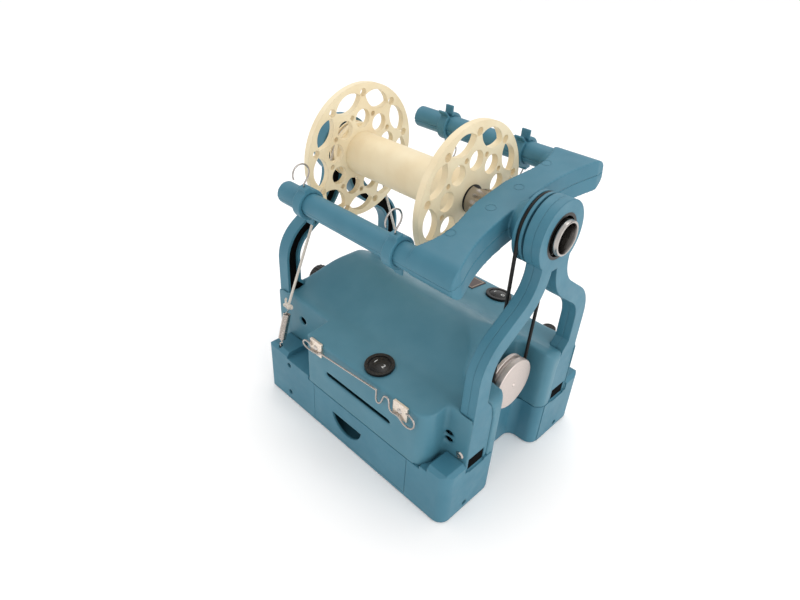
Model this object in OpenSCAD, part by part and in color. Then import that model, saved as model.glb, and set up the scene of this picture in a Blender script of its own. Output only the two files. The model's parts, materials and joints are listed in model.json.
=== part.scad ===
// Electric spinning wheel, table top size.
// X runs along the spindle to the orifice, the drawer faces -Y, Z is up.
// The origin lies on the table under the middle of the housing's corners.

/* [Housing] */
// Length of the housing over its corner blocks
housing_length = 210; // [190:1:240]
// Width of the housing
housing_width = 176; // [170:1:200]
// Height of the recessed step under the housing
plinth_height = 1; // [0.6:0.1:2]
// Height of the seam between housing and cover
seam_height = 41.8; // [38:0.1:44]
// Height of the low ledges beside the corner blocks
ledge_height = 46; // [44.5:0.5:48]
// Height of the corner blocks
block_height = 51; // [49:0.5:56]
// Wall of the housing and cover
wall = 2.6; // [2:0.1:3.2]
// Radius of the housing's upright corners
corner_r = 9; // [6:0.5:12]
// Reach of the rear body behind the corner blocks
rear_reach = 12; // [12:0.5:16]

/* [Cover] */
// Half width of the cover between its corner recesses
core_half = 66; // [66:0.5:68]
// Height of the cover's long edges
edge_height = 90.5; // [88:0.5:93]
// Rise of the flat shoulders from the long edge to the ridge's foot
shoulder_rise = 3.5; // [1:0.5:5]
// Height of the ridge
ridge_height = 116.5; // [108:0.5:118]
// Half width of the ridge at its foot
ridge_half = 54; // [50:1:64]
// Left end of the wide part of the cover
wide_left = -49; // [-54:1:-44]
// Radius of the wide part's right corners
wide_r = 12; // [8:1:14]

/* [Drawer] */
// Left side of the drawer front
drawer_left = -41.5; // [-44:0.5:-38]
// Length of the drawer front
drawer_length = 108; // [100:1:109]
// Depth of the drawer
drawer_depth = 76; // [60:1:78]
// Wall of the drawer
drawer_wall = 2; // [1.6:0.1:3]

/* [Uprights] */
// Height of the spindle above the table
spindle_height = 210.2; // [208:0.1:216]
// Radius of an upright's head
head_r = 24.5; // [22:0.5:27]
// Half span over the legs
leg_half = 65; // [64:0.5:65.5]
// Width of a leg
leg_w = 13.5; // [12:0.5:15]
// Depth of an upright along the spindle
upright_depth = 12; // [11:0.5:13]
// Back face of the front upright
front_upright_x = 91.5; // [90.5:0.5:92]
// Back face of the rear upright
rear_upright_x = -115.5; // [-116:0.5:-115]
// Wall of the upright shells
shell_wall = 2.2; // [1.6:0.1:2.6]

/* [Flyer] */
// Distance of the arms from the spindle
arm_radius = 74; // [71:0.5:76]
// Radius of an arm tube
arm_r = 8.6; // [7.6:0.1:9.4]
// Rear end of the arms
arm_rear_x = -87.8; // [-92:0.2:-80]
// Tilt of the flyer at rest
flyer_tilt = 12.5; // [0:0.5:30]
// Wall of the flyer shells
flyer_wall = 2.2; // [1.6:0.1:3]

/* [Bobbin] */
// Radius of the bobbin flanges
flange_r = 54.25; // [48:0.25:58]
// Outer face of the front flange
bobbin_front_x = 30.4; // [26:0.2:31]
// Front face of the rear flange
bobbin_rear_x = -83.6; // [-84:0.2:-70]
// Thickness of the flanges
flange_t = 5; // [3.5:0.5:5]
// Radius of the barrel
barrel_r = 17; // [14:0.5:18]
// Radius of the brake groove behind the rear flange
brake_groove_r = 19; // [16:0.5:22]
// Number of openings in each ring of a flange
opening_count = 9; // [7:1:9]

/* [Drive] */
// Height of the motor shaft
motor_height = 78.7; // [76:0.1:80]
// Radius of the motor can
motor_r = 17; // [14:0.5:18]
// Radius of the motor pulley's rims
pulley_r = 21.5; // [18:0.5:23]
// Radius of the whorl's rims
whorl_r = 24; // [22:0.5:26]
// Radius of the round belt
belt_r = 1.3; // [1:0.1:1.8]
// Middle plane of the belt
belt_x = 86; // [85.8:0.1:86.4]

/* [Switches and knobs] */
// Radius of the rocker switches' bezels
bezel_r = 11.5; // [10.5:0.1:12]
// Place of the switches along the spindle
switch_x = 20; // [5:1:28]
// Distance of the switches from the middle
switch_y = 73; // [72:0.5:75]
// Radius of the speed knob
speed_knob_r = 7.5; // [6:0.5:9.5]
// Radius of the brake knob
brake_knob_r = 11; // [9:0.5:14]

/* [Hidden] */

// Fine round shapes, small round shapes and faceted children
$fn = 72;
small_fn = 32;

// Overrun of cuts, running clearance and plain gap between parts
over = 1;
run_gap = 0.08;
gap = 0.3;

// Colours
teal = [0.40, 0.58, 0.66];
cream = [0.95, 0.88, 0.74];
black = [0.07, 0.07, 0.07];
steel = [0.72, 0.70, 0.68];
nickel = [0.84, 0.76, 0.68];
board_green = [0.10, 0.34, 0.20];

// Housing places
half_len = housing_length / 2;
half_wid = housing_width / 2;
rear_x = -half_len - rear_reach;
foot_margin = 1.5;
tower_half = leg_half + foot_margin;
tower_depth = 14;
floor_top = plinth_height + wall;
plinth_inset = 1.5;

// Corner blocks and ledges
block_length = 26;
ledge_right = wide_left;
right_ledge_left = 79;
right_block_left = 86;
right_ledge_drop = 1;
block_chamfer = 3;
rear_corner_r = 3;

// Bay at the orifice end
bay_half = 28;
bay_r = 8;
bay_base_x = 81;
bay_cover_x = 74;
front_setback = 0.5;
front_face_x = half_len - front_setback;

// Cover ends
wide_right = 82;
far_right = 45;
ridge_rear_x = -88;
ridge_rear_drop = 26;
ridge_y = -5;
ridge_front_x = 44;
ridge_front_run = 35.3;
ridge_front_drop = 38;
lobe_top_height = 97;
lobe_r = 8;
shoulder_y = 60;
end_steps = 12;
ridge_steps = 48;

// Shelf under the speed knob
speed_shelf_height = 66;
speed_shelf_right = 86;
speed_x = 72;
speed_inset = 10;
speed_y = half_wid - speed_inset;
speed_shaft_r = 3;
speed_gap = 1.5;
speed_knob_h = 16.5;
pot_r = 7;
pot_h = 10;

// Openings in the cover's sides
recess_hole_x = -83.6;
recess_hole_z = 73.2;
recess_hole_r = 3.5;
vent_x = 86;
vent_z = 65;
vent_r = 5;
vent_bar = 2.6;
slot_left = -25.6;
slot_right = 47;
slot_z = 63.5;
slot_h = 3;
low_hole_x = -76.5;
low_hole_z = 9;
high_hole_z = 40;
low_hole_r = 2.4;
front_hole_y = 62;
front_hole_z = 6;

// Latch windows in the front upright's feet
window_y = 45;
window_w = 18;
window_h = 10.7;
window_drop = 1.4;

// Rubber feet and the screws that join cover and housing
foot_r = 7;
foot_t = 1.6;
foot_inset = 15;
pillar_r = 4;
pillar_rear_x = -70;
pillar_front_x = 79;
pillar_y = 50;
pillar_top = 62;
screw_r = 1.5;
screw_head_r = 2.9;
screw_head_h = 2;
foot_head_r = 3.4;
pilot_gap = 0.05;

// Outline of an upright: knee and neck arcs, crotch and flared feet
knee_y = 27.5;
knee_z = 121.5;
knee_r = leg_half - knee_y;
neck_y = 46;
neck_z = 190;
neck_r = 29.5;
neck_end_angle = 172;
crotch_end_angle = 184;
flare_top_z = 101;
flare_mid_z = 94;
flare_mid_y = 46;
flare_low_z = 88;
flare_low_y = 43.5;
flare_end_z = 80;
foot_y = 42;
arc_steps = 14;
seam_gap = 0.05;

// Bearings
orifice_bearing_r = 16;
orifice_bearing_in = 10;
rear_bearing_r = 11;
rear_bearing_in = 4;
bearing_w = 7;
race_t = 1.9;
ball_count = 10;
ball_gap = 0.06;
bearing_boss = 2.6;
bearing_fit = 0.02;
front_bearing_x = front_upright_x + upright_depth - bearing_w;
rear_bearing_x = rear_upright_x + shell_wall;

// Screws through the front upright
neck_screw_angle = 20;
neck_band_r = neck_r + leg_w / 2;
upright_screw_spots = [[leg_half - leg_w / 2, flare_top_z + leg_w],
    [neck_y - neck_band_r * cos(neck_screw_angle), neck_z - neck_band_r * sin(neck_screw_angle)]];
boss_r = 3;
upright_screw_r = 1.2;
foot_screw_z = 55;

// Orifice tube, flyer shaft and whorl
tube_r = 10.6;
tube_rear_x = 31.6;
tube_bore_r = 8.2;
tube_bore_x = 47;
lip_r = 12.4;
lip_w = 4;
lip_flare = 9.4;
tube_front_x = front_upright_x + upright_depth + gap;
scoop_x = 41;
scoop_r = 7;
scoop_lift = 8;
shaft_r = rear_bearing_in - bearing_fit;
shaft_seat = 12;
whorl_left = 82.4;
whorl_right = 89.6;
groove_depth = 2.7;

// Outline of the flyer: curve points of its left and right edges along the spindle
edge_left_x = 46.5;
edge_left_pull_x = 45.5;
edge_left_belly_x = 60;
edge_left_end_x = 47;
edge_right_x = 71.9;
edge_right_pull_x = 71.5;
edge_right_belly_x = 80;
edge_steps = 12;
blend_left_x = 40;
blend_right_x = 54;
flyer_tip_x = 83.5;
tip_r = 2;
tip_steps = 4;
plate_half = 12;
plate_round_y = arm_radius + arm_r - plate_half;
pin_r = 3;
pin_spots = [[59, 15], [56, 51]];
flyer_screw_r = 1.3;
hub_r = 11.9;
hub_flare_r = 20;
hub_right_x = whorl_left - gap;

// Places across the flyer as shares of the arm radius
hub_share = 0.135;
left_pull_share = 0.38;
left_belly_share = 0.62;
right_pull_share = 0.65;
right_belly_share = 0.85;

// Clips on the arms
clip_r = 11.6;
clip_w = 8;
clip_slot = 3;
clip_boss_w = 6;
clip_boss_h = 3.4;
ear_l = 7;
ear_t = 1.6;
ear_lean = 24;
clip_turn = 190;
clip_near_rear_x = -61.5;
clip_near_front_x = 31;
clip_far_rear_x = -55;
clip_far_front_x = 21;
clip_wire_r = 0.65;
hook_loop_r = 7;
hook_loop_lift = 9.5;
hook_start_angle = -52;
hook_end_angle = 205;
hook_steps = 22;

// Bobbin
barrel_wall = 2.4;
brake_flange_r = 22.5;
brake_wheel_w = 8.4;
inner_opening_ring = 27.5;
inner_opening_r = 7.2;
outer_opening_ring = 43;
leaf_r = 15.2;
leaf_offset = 8.2;
petal_r = 3;
petal_ring = 47.2;
seed_r = 2;
seed_ring = 31.3;
bushing_l = 12;
bushing_wall = 3;
washer_w = 0.9;

// Motor and its bracket
motor_length = 52;
motor_nose_r = 6;
motor_nose = 2.2;
bracket_t = 2.4;
motor_screw_grip = 1.6;
motor_face_x = bay_cover_x - wall - bracket_t;
motor_room = 37.8;
motor_z = min(motor_height, ridge_height - motor_room);
bracket_half = 21;
bracket_hole_r = 6.3;
bracket_screw = 17.5;
motor_screw_spot = 12.5;
motor_screw_r = 1.4;
motor_shaft_r = 2.5;
shaft_hole_r = 5;
pulley_left = 81.5;
pulley_right = 92.2;
pulley_hub_r = 7;
pulley_hub_left = 77;
pulley_mark_r = 1.5;

// Board and power inlet
board_x = -60;
board_y = 12;
board_l = 90;
board_w = 56;
board_t = 1.6;
board_lift = 6;
board_inset = 5;
chip_l = 12;
chip_w = 9;
chip_h = 4;
cap_r = 4;
cap_h = 11;
jack_y = 38;
jack_z = 24;
jack_r = 5.5;
jack_bore_r = 2.8;
jack_pin_r = 1;
jack_length = 14;
jack_depth = 9.5;
jack_rim_r = 7;
jack_rim = 1.2;

// Rocker switches
switch_margin = 3.5;
switch_mid_y = min(switch_y, half_wid - bezel_r - switch_margin);
switch_tilt = atan(shoulder_rise / (half_wid - shoulder_y));
bezel_t = 2;
switch_barrel_r = 9.9;
switch_barrel_h = 15;
switch_well_r = 8.8;
switch_well_h = 5;
rocker_r = 8.6;
rocker_t = 3.4;
rocker_crown_r = 40;
rocker_fn = 360;
pin_reach = 0.4;
rocker_lift = 0.4;
pivot_r = 1;

// Label plate on the far shelf
label_left = -46;
label_right = -1;
label_near_y = 61;
label_far_y = 82;
label_t = 0.8;

// Brake knob and its spool
brake_knob_y = -15;
brake_knob_z = 80;
brake_knob_w = 11;
brake_knob_shaft_r = 3.5;
knurl_r = 1.6;
knurl_count = 18;
spool_r = 5;
spool_w = 7;
spool_rim_r = 7.5;

// Threading hook and its holders
holder_l = 14;
holder_h = 13;
holder_t = 1.8;
holder_drop = 5.5;
holder_z = edge_height - holder_drop;
holder_left_x = -35.2;
holder_right_x = 58.4;
holder_dome_r = 2.5;
holder_dome_h = 1.5;
hook_wire_r = 0.75;
hook_y = -half_wid - holder_t - hook_wire_r - gap;

// Route of the threading hook, along the spindle and up from the holders' middle
hook_route = [[-40.4, -0.4], [-42, 1.6], [-46, 1.8], [-49, 0], [-49.6, -2.2], [-48, -4], [-44, -4.8],
    [-36, -4.4], [-30, -2.8], [-26, -0.6], [10, 2.6], [33, 4.6], [35.4, 3.6], [35.4, -3], [36.6, -5.6],
    [38.6, -5.6], [40.6, -3.2], [42, 0.6], [43.4, 4], [45.4, 5.2], [47.6, 4.6], [48.6, 2], [49, -2.4],
    [51.4, -4.8], [58, -4.4], [64, -8], [70, -7.6], [73.2, -3.6], [72.8, 1], [69, 3.6], [65.4, 3.4]];

// Brake cord and spring
brake_cord_r = 1.2;
brake_x = -94;
cord_wrap_r = brake_groove_r + brake_cord_r + gap;
wrap_steps = 10;
belt_wrap_steps = 30;
anchor_hole_r = 1.8;
cord_step = 6.5;
belt_step = 10;
knot_inset = 14.5;
knot_lift = 36;
knot_at = [-93.5, -half_wid + knot_inset, block_height + knot_lift];
knot_r = 2.6;
knot_share = 0.8;
guide_y = 61.8;
guide_r = 2.5;
guide_rise = 4.5;
guide_dip = 2.5;
cord_dip = 8;
spool_side = 6.6;
cord_end_route = [[-94, guide_y, edge_height + guide_rise],
    [-94, guide_y - guide_r, edge_height - guide_dip],
    [-96, 50, edge_height - cord_dip], [-98, 34, brake_knob_z - over], [-108, 8, brake_knob_z - over],
    [-110.6, brake_knob_y + spool_side, brake_knob_z - 2 * gap]];
spring_top_inset = 12.5;
spring_top_lift = 29;
spring_bottom_inset = 5.2;
spring_bottom_lift = 6.5;
spring_hook_inset = 3.4;
spring_hook_lift = 2.4;
spring_top = [-93.2, -half_wid + spring_top_inset, block_height + spring_top_lift];
spring_bottom = [-92.4, -half_wid + spring_bottom_inset, block_height + spring_bottom_lift];
spring_hook_at = [-92, -half_wid + spring_hook_inset, block_height + spring_hook_lift];
spring_r = 2.8;
spring_wire_r = 0.4;
spring_turns = 19;
spring_rings = 8;
cord_sides = 8;
wire_sides = 6;

// Unit vector, and a sweep of a round section along points
function unit(v) = v / norm(v);
function run_at(p, i, closed) =
    let (n = len(p), a = closed ? (i + n - 1) % n : max(i - 1, 0),
        b = closed ? (i + 1) % n : min(i + 1, n - 1))
    unit(p[b] - p[a]);
function ring_at(c, t, r, sides, ref) =
    let (u = unit(cross(t, ref)), w = cross(t, u))
    [for (k = [0 : sides - 1]) c + r * (cos(360 * k / sides) * u + sin(360 * k / sides) * w)];
function laid(p, step) = [for (i = [0 : len(p) - 2])
    let (n = max(1, floor(norm(p[i + 1] - p[i]) / step)))
    each [for (k = [0 : n - 1]) p[i] + (p[i + 1] - p[i]) * k / n], p[len(p) - 1]];
module sweep(p, r, sides, ref, closed = false) {
    n = len(p);
    points = [for (i = [0 : n - 1]) each ring_at(p[i], run_at(p, i, closed), r, sides, ref)];
    walls = [for (i = [0 : n - (closed ? 1 : 2)], k = [0 : sides - 1])
        let (j = (i + 1) % n, m = (k + 1) % sides)
        each [[i * sides + k, j * sides + m, i * sides + m],
            [i * sides + k, j * sides + k, j * sides + m]]];
    ends = closed ? [] : [[for (k = [0 : sides - 1]) k],
        [for (k = [sides - 1 : -1 : 0]) (n - 1) * sides + k]];
    polyhedron(points, concat(walls, ends));
}

// Points of an arc, and outlines set up along X or Y
function arc_points(cy, cz, r, a0, a1, n) =
    [for (i = [0 : n]) let (a = a0 + (a1 - a0) * i / n) [cy + r * cos(a), cz + r * sin(a)]];
function mirrored(p) = [for (i = [len(p) - 1 : -1 : 0]) [-p[i][0], p[i][1]]];
module along_x(from, to) {
    translate([from, 0, 0]) rotate([90, 0, 90]) linear_extrude(to - from) children();
}
module along_y(from, to) {
    translate([0, to, 0]) rotate([90, 0, 0]) linear_extrude(to - from) children();
}
module rod_x(from, to, r) {
    translate([from, 0, 0]) rotate([0, 90, 0]) cylinder(h = to - from, r = r);
}
module box(from, to) {
    translate(from) cube(to - from);
}
module rounded(from, to, r) {
    translate([from[0] + r, from[1]]) square([to[0] - from[0] - 2 * r, to[1] - from[1]]);
    translate([from[0], from[1] + r]) square([to[0] - from[0], to[1] - from[1] - 2 * r]);
    for (x = [from[0] + r, to[0] - r], y = [from[1] + r, to[1] - r]) translate([x, y]) circle(r);
}
module at_spindle() {
    translate([0, 0, spindle_height]) children();
}
module on_flyer() {
    at_spindle() rotate([flyer_tilt, 0, 0]) children();
}

// Plan of the bay, opened by grow, from its back wall outwards
module bay_plan(back_x, grow) {
    mouth_x = front_face_x - bay_r;
    rounded([back_x - grow, -bay_half - grow], [half_len + corner_r, bay_half + grow], bay_r + grow);
    difference() {
        translate([mouth_x, -bay_half - bay_r]) square([bay_r + corner_r, 2 * (bay_half + bay_r)]);
        for (side = [-1, 1]) translate([mouth_x, side * (bay_half + bay_r)]) circle(bay_r - grow);
    }
}

// Lower housing
module base_plan(inset) {
    difference() {
        union() {
            rounded([-half_len + inset, -half_wid + inset], [half_len - inset, half_wid - inset],
                corner_r - inset);
            rounded([-half_len + inset, -half_wid + inset], [0, half_wid - inset],
                max(rear_corner_r - inset, gap));
            translate([rear_x + inset, -tower_half + inset])
                square([rear_reach + corner_r, 2 * (tower_half - inset)]);
        }
        bay_plan(bay_base_x, inset);
    }
}
module block_profile(half, top) {
    polygon([[-half, 0], [-half, top - block_chamfer], [-half + block_chamfer, top],
        [half - block_chamfer, top], [half, top - block_chamfer], [half, 0]]);
}
module corner_tops() {
    difference() {
        raised_corners();
        translate([0, 0, seam_height]) linear_extrude(block_height) cover_plan(-gap);
    }
}
module raised_corners() {
    intersection() {
        translate([0, 0, seam_height - over]) linear_extrude(block_height) base_plan(0);
        union() {
            for (side = [0, 1]) mirror([0, side, 0]) {
                box([-half_len, -half_wid, seam_height - over],
                    [ledge_right - gap, -tower_half - gap, ledge_height]);
                box([-half_len, -half_wid, seam_height - over],
                    [-half_len + block_length, -tower_half - gap, block_height]);
                box([right_ledge_left + side * (speed_shelf_right - right_ledge_left) + gap, -half_wid,
                    seam_height - over], [half_len, -tower_half - gap, ledge_height - right_ledge_drop]);
                box([right_block_left + gap, -half_wid, seam_height - over],
                    [half_len, -tower_half - gap, block_height]);
            }
        }
        along_x(-half_len, half_len) block_profile(half_wid, block_height);
        along_y(-half_wid, half_wid) block_profile(half_len, block_height);
    }
}
module drawer_well(grow, low) {
    box([drawer_left - grow, -half_wid - over, low],
        [drawer_left + drawer_length + grow, -half_wid + drawer_depth + grow, seam_height + over]);
}
module base_housing() {
    color(teal) difference() {
        union() {
            difference() {
                union() {
                    linear_extrude(seam_height) base_plan(plinth_inset);
                    translate([0, 0, plinth_height])
                        linear_extrude(seam_height - plinth_height) base_plan(0);
                    corner_tops();
                }
                translate([0, 0, floor_top]) linear_extrude(seam_height - floor_top) base_plan(wall);
            }
            intersection() {
                translate([0, 0, plinth_height]) linear_extrude(seam_height - plinth_height) base_plan(0);
                drawer_well(wall + gap, plinth_height);
            }
            intersection() {
                translate([0, 0, plinth_height]) linear_extrude(seam_height - plinth_height) base_plan(0);
                union() {
                    for (side = [-1, 1], x = [pillar_rear_x, pillar_front_x])
                        translate([x, side * pillar_y, 0]) cylinder(h = seam_height, r = pillar_r);
                    for (x = [board_x + board_inset, board_x + board_l - board_inset],
                        y = [board_y + board_inset, board_y + board_w - board_inset])
                        translate([x, y, 0]) cylinder(h = floor_top + board_lift, r = pillar_r / 2);
                    for (side = [0, 1]) mirror([0, side, 0]) {
                        box([front_upright_x, foot_y, seam_height - 2 * wall],
                            [half_len, tower_half, seam_height]);
                        box([rear_x, foot_y, seam_height - 2 * wall],
                            [rear_upright_x + upright_depth, tower_half, seam_height]);
                    }
                }
            }
        }
        drawer_well(gap, floor_top + gap);
        for (side = [-1, 1], x = [pillar_rear_x, pillar_front_x]) translate([x, side * pillar_y, 0]) {
            cylinder(h = seam_height + over, r = screw_r + pilot_gap);
            cylinder(h = screw_head_h, r = screw_head_r + gap);
        }
        for (z = [low_hole_z, high_hole_z])
            translate([low_hole_x, -half_wid + wall + over, z]) rotate([90, 0, 0])
                cylinder(h = wall + 2 * over, r = low_hole_r, $fn = small_fn);
        for (side = [-1, 1])
            translate([half_len - wall - over, side * front_hole_y, front_hole_z]) rotate([0, 90, 0])
                cylinder(h = wall + 2 * over, r = low_hole_r, $fn = small_fn);
        for (side = [0, 1]) mirror([0, side, 0])
            box([front_upright_x + upright_depth, window_y, seam_height - window_drop],
                [half_len + over, window_y + window_w, seam_height + over]);
        translate([rear_x - over, jack_y, jack_z]) rotate([0, 90, 0])
            cylinder(h = wall + 2 * over, r = jack_r + gap);
        translate([spring_hook_at[0], spring_hook_at[1], seam_height - 2 * over])
            cylinder(h = block_height, r = anchor_hole_r, $fn = small_fn);
        foot_places(foot_r + gap);
    }
}

// Rubber feet
module foot_places(r) {
    for (side = [-1, 1], end = [-1, 1])
        translate([end * (half_len - foot_inset), side * (half_wid - foot_inset), 0])
            cylinder(h = foot_t, r = r);
}
module rubber_feet() {
    color(black) foot_places(foot_r);
}

// Screws that join the housing and cover from below
module housing_screws() {
    color(steel) for (side = [-1, 1], x = [pillar_rear_x, pillar_front_x])
        translate([x, side * pillar_y, 0]) {
        translate([0, 0, gap]) cylinder(h = screw_head_h - gap, r = screw_head_r);
        translate([0, 0, gap]) cylinder(h = pillar_top - wall, r = screw_r);
    }
}

// Cover: plan, ridge and end profiles drawn in by inset
module cover_plan(inset) {
    difference() {
        union() {
            rounded([wide_left + inset, -half_wid + inset], [wide_right - inset, 0], wide_r - inset);
            rounded([wide_left + inset, 0], [far_right - inset, half_wid - inset], wide_r - inset);
            translate([wide_left + inset, -half_wid + inset]) square([wide_r, housing_width - 2 * inset]);
            translate([-half_len, -core_half + inset])
                square([half_len + wide_right, 2 * (core_half - inset)]);
            translate([rear_x + inset, -tower_half + inset])
                square([tower_depth, 2 * (tower_half - inset)]);
            translate([pillar_front_x, -tower_half + inset])
                square([front_face_x - inset - pillar_front_x, 2 * (tower_half - inset)]);
        }
        bay_plan(bay_cover_x, inset);
    }
}
function ridge_z(y) =
    let (away = abs(y - ridge_y), rise = ridge_height - edge_height - shoulder_rise)
    edge_height + shoulder_rise * min(1, (half_wid - abs(y)) / (half_wid - shoulder_y))
    + (away < ridge_half ? rise * (1 + cos(180 * away / ridge_half)) / 2 : 0);
module ridge_profile(inset) {
    steps = [for (i = [0 : ridge_steps]) -half_wid + housing_width * i / ridge_steps];
    polygon(concat([[-half_wid, 0]], [for (y = steps) [y, ridge_z(y) - inset]], [[half_wid, 0]]));
}
module end_profile(inset) {
    rear_run = ridge_rear_x - rear_x;
    end_angle = asin((bay_cover_x - ridge_front_x) / ridge_front_run);
    polygon(concat([[rear_x, 0]],
        [for (i = [0 : end_steps]) let (a = 180 * i / end_steps)
            [rear_x + rear_run * i / end_steps, ridge_height - ridge_rear_drop * (1 + cos(a)) / 2 - inset]],
        [for (i = [0 : end_steps]) let (a = end_angle * i / end_steps)
            [ridge_front_x + ridge_front_run * sin(a),
                ridge_height - ridge_front_drop * (1 - cos(a)) - inset]],
        [for (i = [0 : end_steps / 2]) let (a = 90 * (1 - 2 * i / end_steps))
            [front_face_x - lobe_r + lobe_r * cos(a), lobe_top_height - inset - lobe_r + lobe_r * sin(a)]],
        [[front_face_x, 0]]));
}
module cover_form(inset, low) {
    intersection() {
        translate([0, 0, low]) linear_extrude(ridge_height) cover_plan(inset);
        along_x(rear_x, half_len) ridge_profile(inset);
        along_y(-half_wid, half_wid) end_profile(inset);
    }
}
module at_switch(side) {
    translate([switch_x, side * switch_mid_y, ridge_z(switch_mid_y)]) rotate([-side * switch_tilt, 0, 0])
        children();
}
module side_vent() {
    for (half = [-1, 1]) intersection() {
        translate([vent_x, -tower_half + 2 * wall, vent_z]) rotate([90, 0, 0])
            cylinder(h = 4 * wall, r = vent_r, $fn = small_fn);
        box([vent_x - vent_r, -tower_half - wall, vent_z + half * (vent_bar + vent_r) / 2 - vent_r / 2],
            [vent_x + vent_r, -tower_half + wall, vent_z + half * (vent_bar + vent_r) / 2 + vent_r / 2]);
    }
}
module top_cover() {
    color(teal) difference() {
        union() {
            difference() {
                union() {
                    cover_form(0, seam_height);
                    box([far_right - wide_r, core_half - wall, seam_height],
                        [speed_shelf_right, half_wid, speed_shelf_height]);
                }
                difference() {
                    cover_form(wall, seam_height - over);
                    for (front = [0, 1]) upright_solid(front, gap + wall);
                }
                box([far_right - wide_r, core_half - 2 * wall, seam_height - over],
                    [speed_shelf_right - wall, half_wid - wall, speed_shelf_height - wall]);
            }
            intersection() {
                cover_form(0, seam_height);
                for (side = [-1, 1], x = [pillar_rear_x, pillar_front_x])
                    translate([x, side * pillar_y, 0]) cylinder(h = ridge_height, r = pillar_r);
            }
        }
        for (front = [0, 1]) upright_solid(front, gap);
        upright_solid(1, gap, half_len);
        translate([0, 0, motor_z]) bracket_spots()
            rod_x(bay_cover_x - wall - over, bay_cover_x - wall + motor_screw_grip,
                motor_screw_r + pilot_gap);
        translate([0, 0, motor_z]) rod_x(bay_cover_x - 2 * wall, bay_cover_x + over, shaft_hole_r);
        for (side = [-1, 1], x = [pillar_rear_x, pillar_front_x])
            translate([x, side * pillar_y, 0]) cylinder(h = pillar_top, r = screw_r + pilot_gap);
        for (side = [-1, 1]) {
            at_switch(side) translate([0, 0, -switch_barrel_h])
                cylinder(h = 2 * switch_barrel_h, r = switch_barrel_r + run_gap);
            translate([recess_hole_x, side * (core_half + over), recess_hole_z]) rotate([side * 90, 0, 0])
                cylinder(h = 2 * wall + over, r = recess_hole_r, $fn = small_fn);
        }
        side_vent();
        translate([brake_x, guide_y, seam_height]) cylinder(h = ridge_height, r = guide_r, $fn = small_fn);
        along_y(-half_wid - over, -half_wid + wall + over)
            rounded([slot_left, slot_z - slot_h / 2], [slot_right, slot_z + slot_h / 2],
                slot_h / 2 - gap / 2);
        translate([speed_x, speed_y, seam_height])
            cylinder(h = speed_shelf_height, r = speed_shaft_r + gap);
        translate([rear_x - over, brake_knob_y, brake_knob_z]) rotate([0, 90, 0])
            cylinder(h = tower_depth, r = brake_knob_shaft_r + run_gap);
        for (x = [holder_left_x, holder_right_x])
            translate([x, -half_wid + 2 * wall, holder_z]) rotate([90, 0, 0])
                cylinder(h = 3 * wall, r = upright_screw_r + pilot_gap, $fn = small_fn);
        foot_screw_holes();
    }
}

// Upright outline, from the outer foot over the head and back inside, grown by grow
function knee_tangent() =
    let (d = norm([neck_y - knee_y, neck_z - knee_z]))
    atan2(neck_z - knee_z, neck_y - knee_y) - acos((neck_r + knee_r) / d);
function outer_half(grow, low) =
    let (t = knee_tangent())
    concat([[knee_y + knee_r + grow, low]], arc_points(knee_y, knee_z, knee_r + grow, 0, t, arc_steps),
        arc_points(neck_y, neck_z, neck_r - grow, t + 180, neck_end_angle, arc_steps));
function inner_half(grow, low) =
    let (t = knee_tangent(), y = leg_half - leg_w)
    concat([[foot_y - grow, low], [foot_y - grow, flare_end_z], [flare_low_y - grow, flare_low_z],
        [flare_mid_y - grow, flare_mid_z], [y - grow, flare_top_z + grow]],
        arc_points(knee_y, knee_z, knee_r - leg_w - grow, 0, t, arc_steps),
        arc_points(neck_y, neck_z, neck_r + leg_w + grow, t + 180, crotch_end_angle, arc_steps));
module upright_outline(grow) {
    low = seam_height - (grow > 0 ? over : grow);
    translate([0, spindle_height]) circle(head_r + grow);
    polygon(concat(outer_half(grow, low), mirrored(outer_half(grow, low)),
        [for (p = inner_half(grow, low)) [-p[0], p[1]]],
        [for (i = [len(inner_half(grow, low)) - 1 : -1 : 0]) inner_half(grow, low)[i]]));
}
module upright_solid(front, grow, ahead = rear_x) {
    x = front == 1 ? front_upright_x : rear_upright_x;
    along_x(x - grow, max(x + upright_depth + grow, ahead)) upright_outline(grow);
}
module channel(from, to, web_from, web_to, bearing_r) {
    difference() {
        along_x(from, to) upright_outline(0);
        difference() {
            along_x(min(from, to) - over, max(from, to) + over) upright_outline(-shell_wall);
            box([web_from, -half_wid, 0], [web_to, half_wid, spindle_height + 2 * head_r]);
            at_spindle() rod_x(from - over, to + over, bearing_r + bearing_boss);
        }
    }
}
module upright_screw_bosses(from, to) {
    for (side = [-1, 1], spot = upright_screw_spots)
        translate([0, side * spot[0], spot[1]]) rod_x(from, to, boss_r);
}
module upright_screw_holes(r, from, to) {
    for (side = [-1, 1], spot = upright_screw_spots)
        translate([0, side * spot[0], spot[1]]) rod_x(from, to, r);
}
module foot_screw_holes() {
    for (side = [-1, 1], x = [front_upright_x, rear_upright_x])
        translate([x + upright_depth / 2, side * (tower_half + over), foot_screw_z])
            rotate([side * 90, 0, 0])
            cylinder(h = 2 * over + shell_wall + screw_head_h, r = screw_r + pilot_gap);
}
upright_mid_x = front_upright_x + upright_depth / 2;
module front_upright_face() {
    from = upright_mid_x + seam_gap / 2;
    to = front_upright_x + upright_depth;
    color(teal) difference() {
        union() {
            channel(from, to, to - shell_wall, to + over, orifice_bearing_r);
            upright_screw_bosses(from, to - shell_wall);
        }
        at_spindle() rod_x(from - over, to + over, orifice_bearing_r + bearing_fit);
        upright_screw_holes(upright_screw_r + pilot_gap, from - over, to - shell_wall);
        foot_screw_holes();
        for (side = [0, 1]) mirror([0, side, 0])
            box([from, window_y, seam_height - over],
                [to + over, window_y + window_w, seam_height + window_h]);
    }
}
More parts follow.
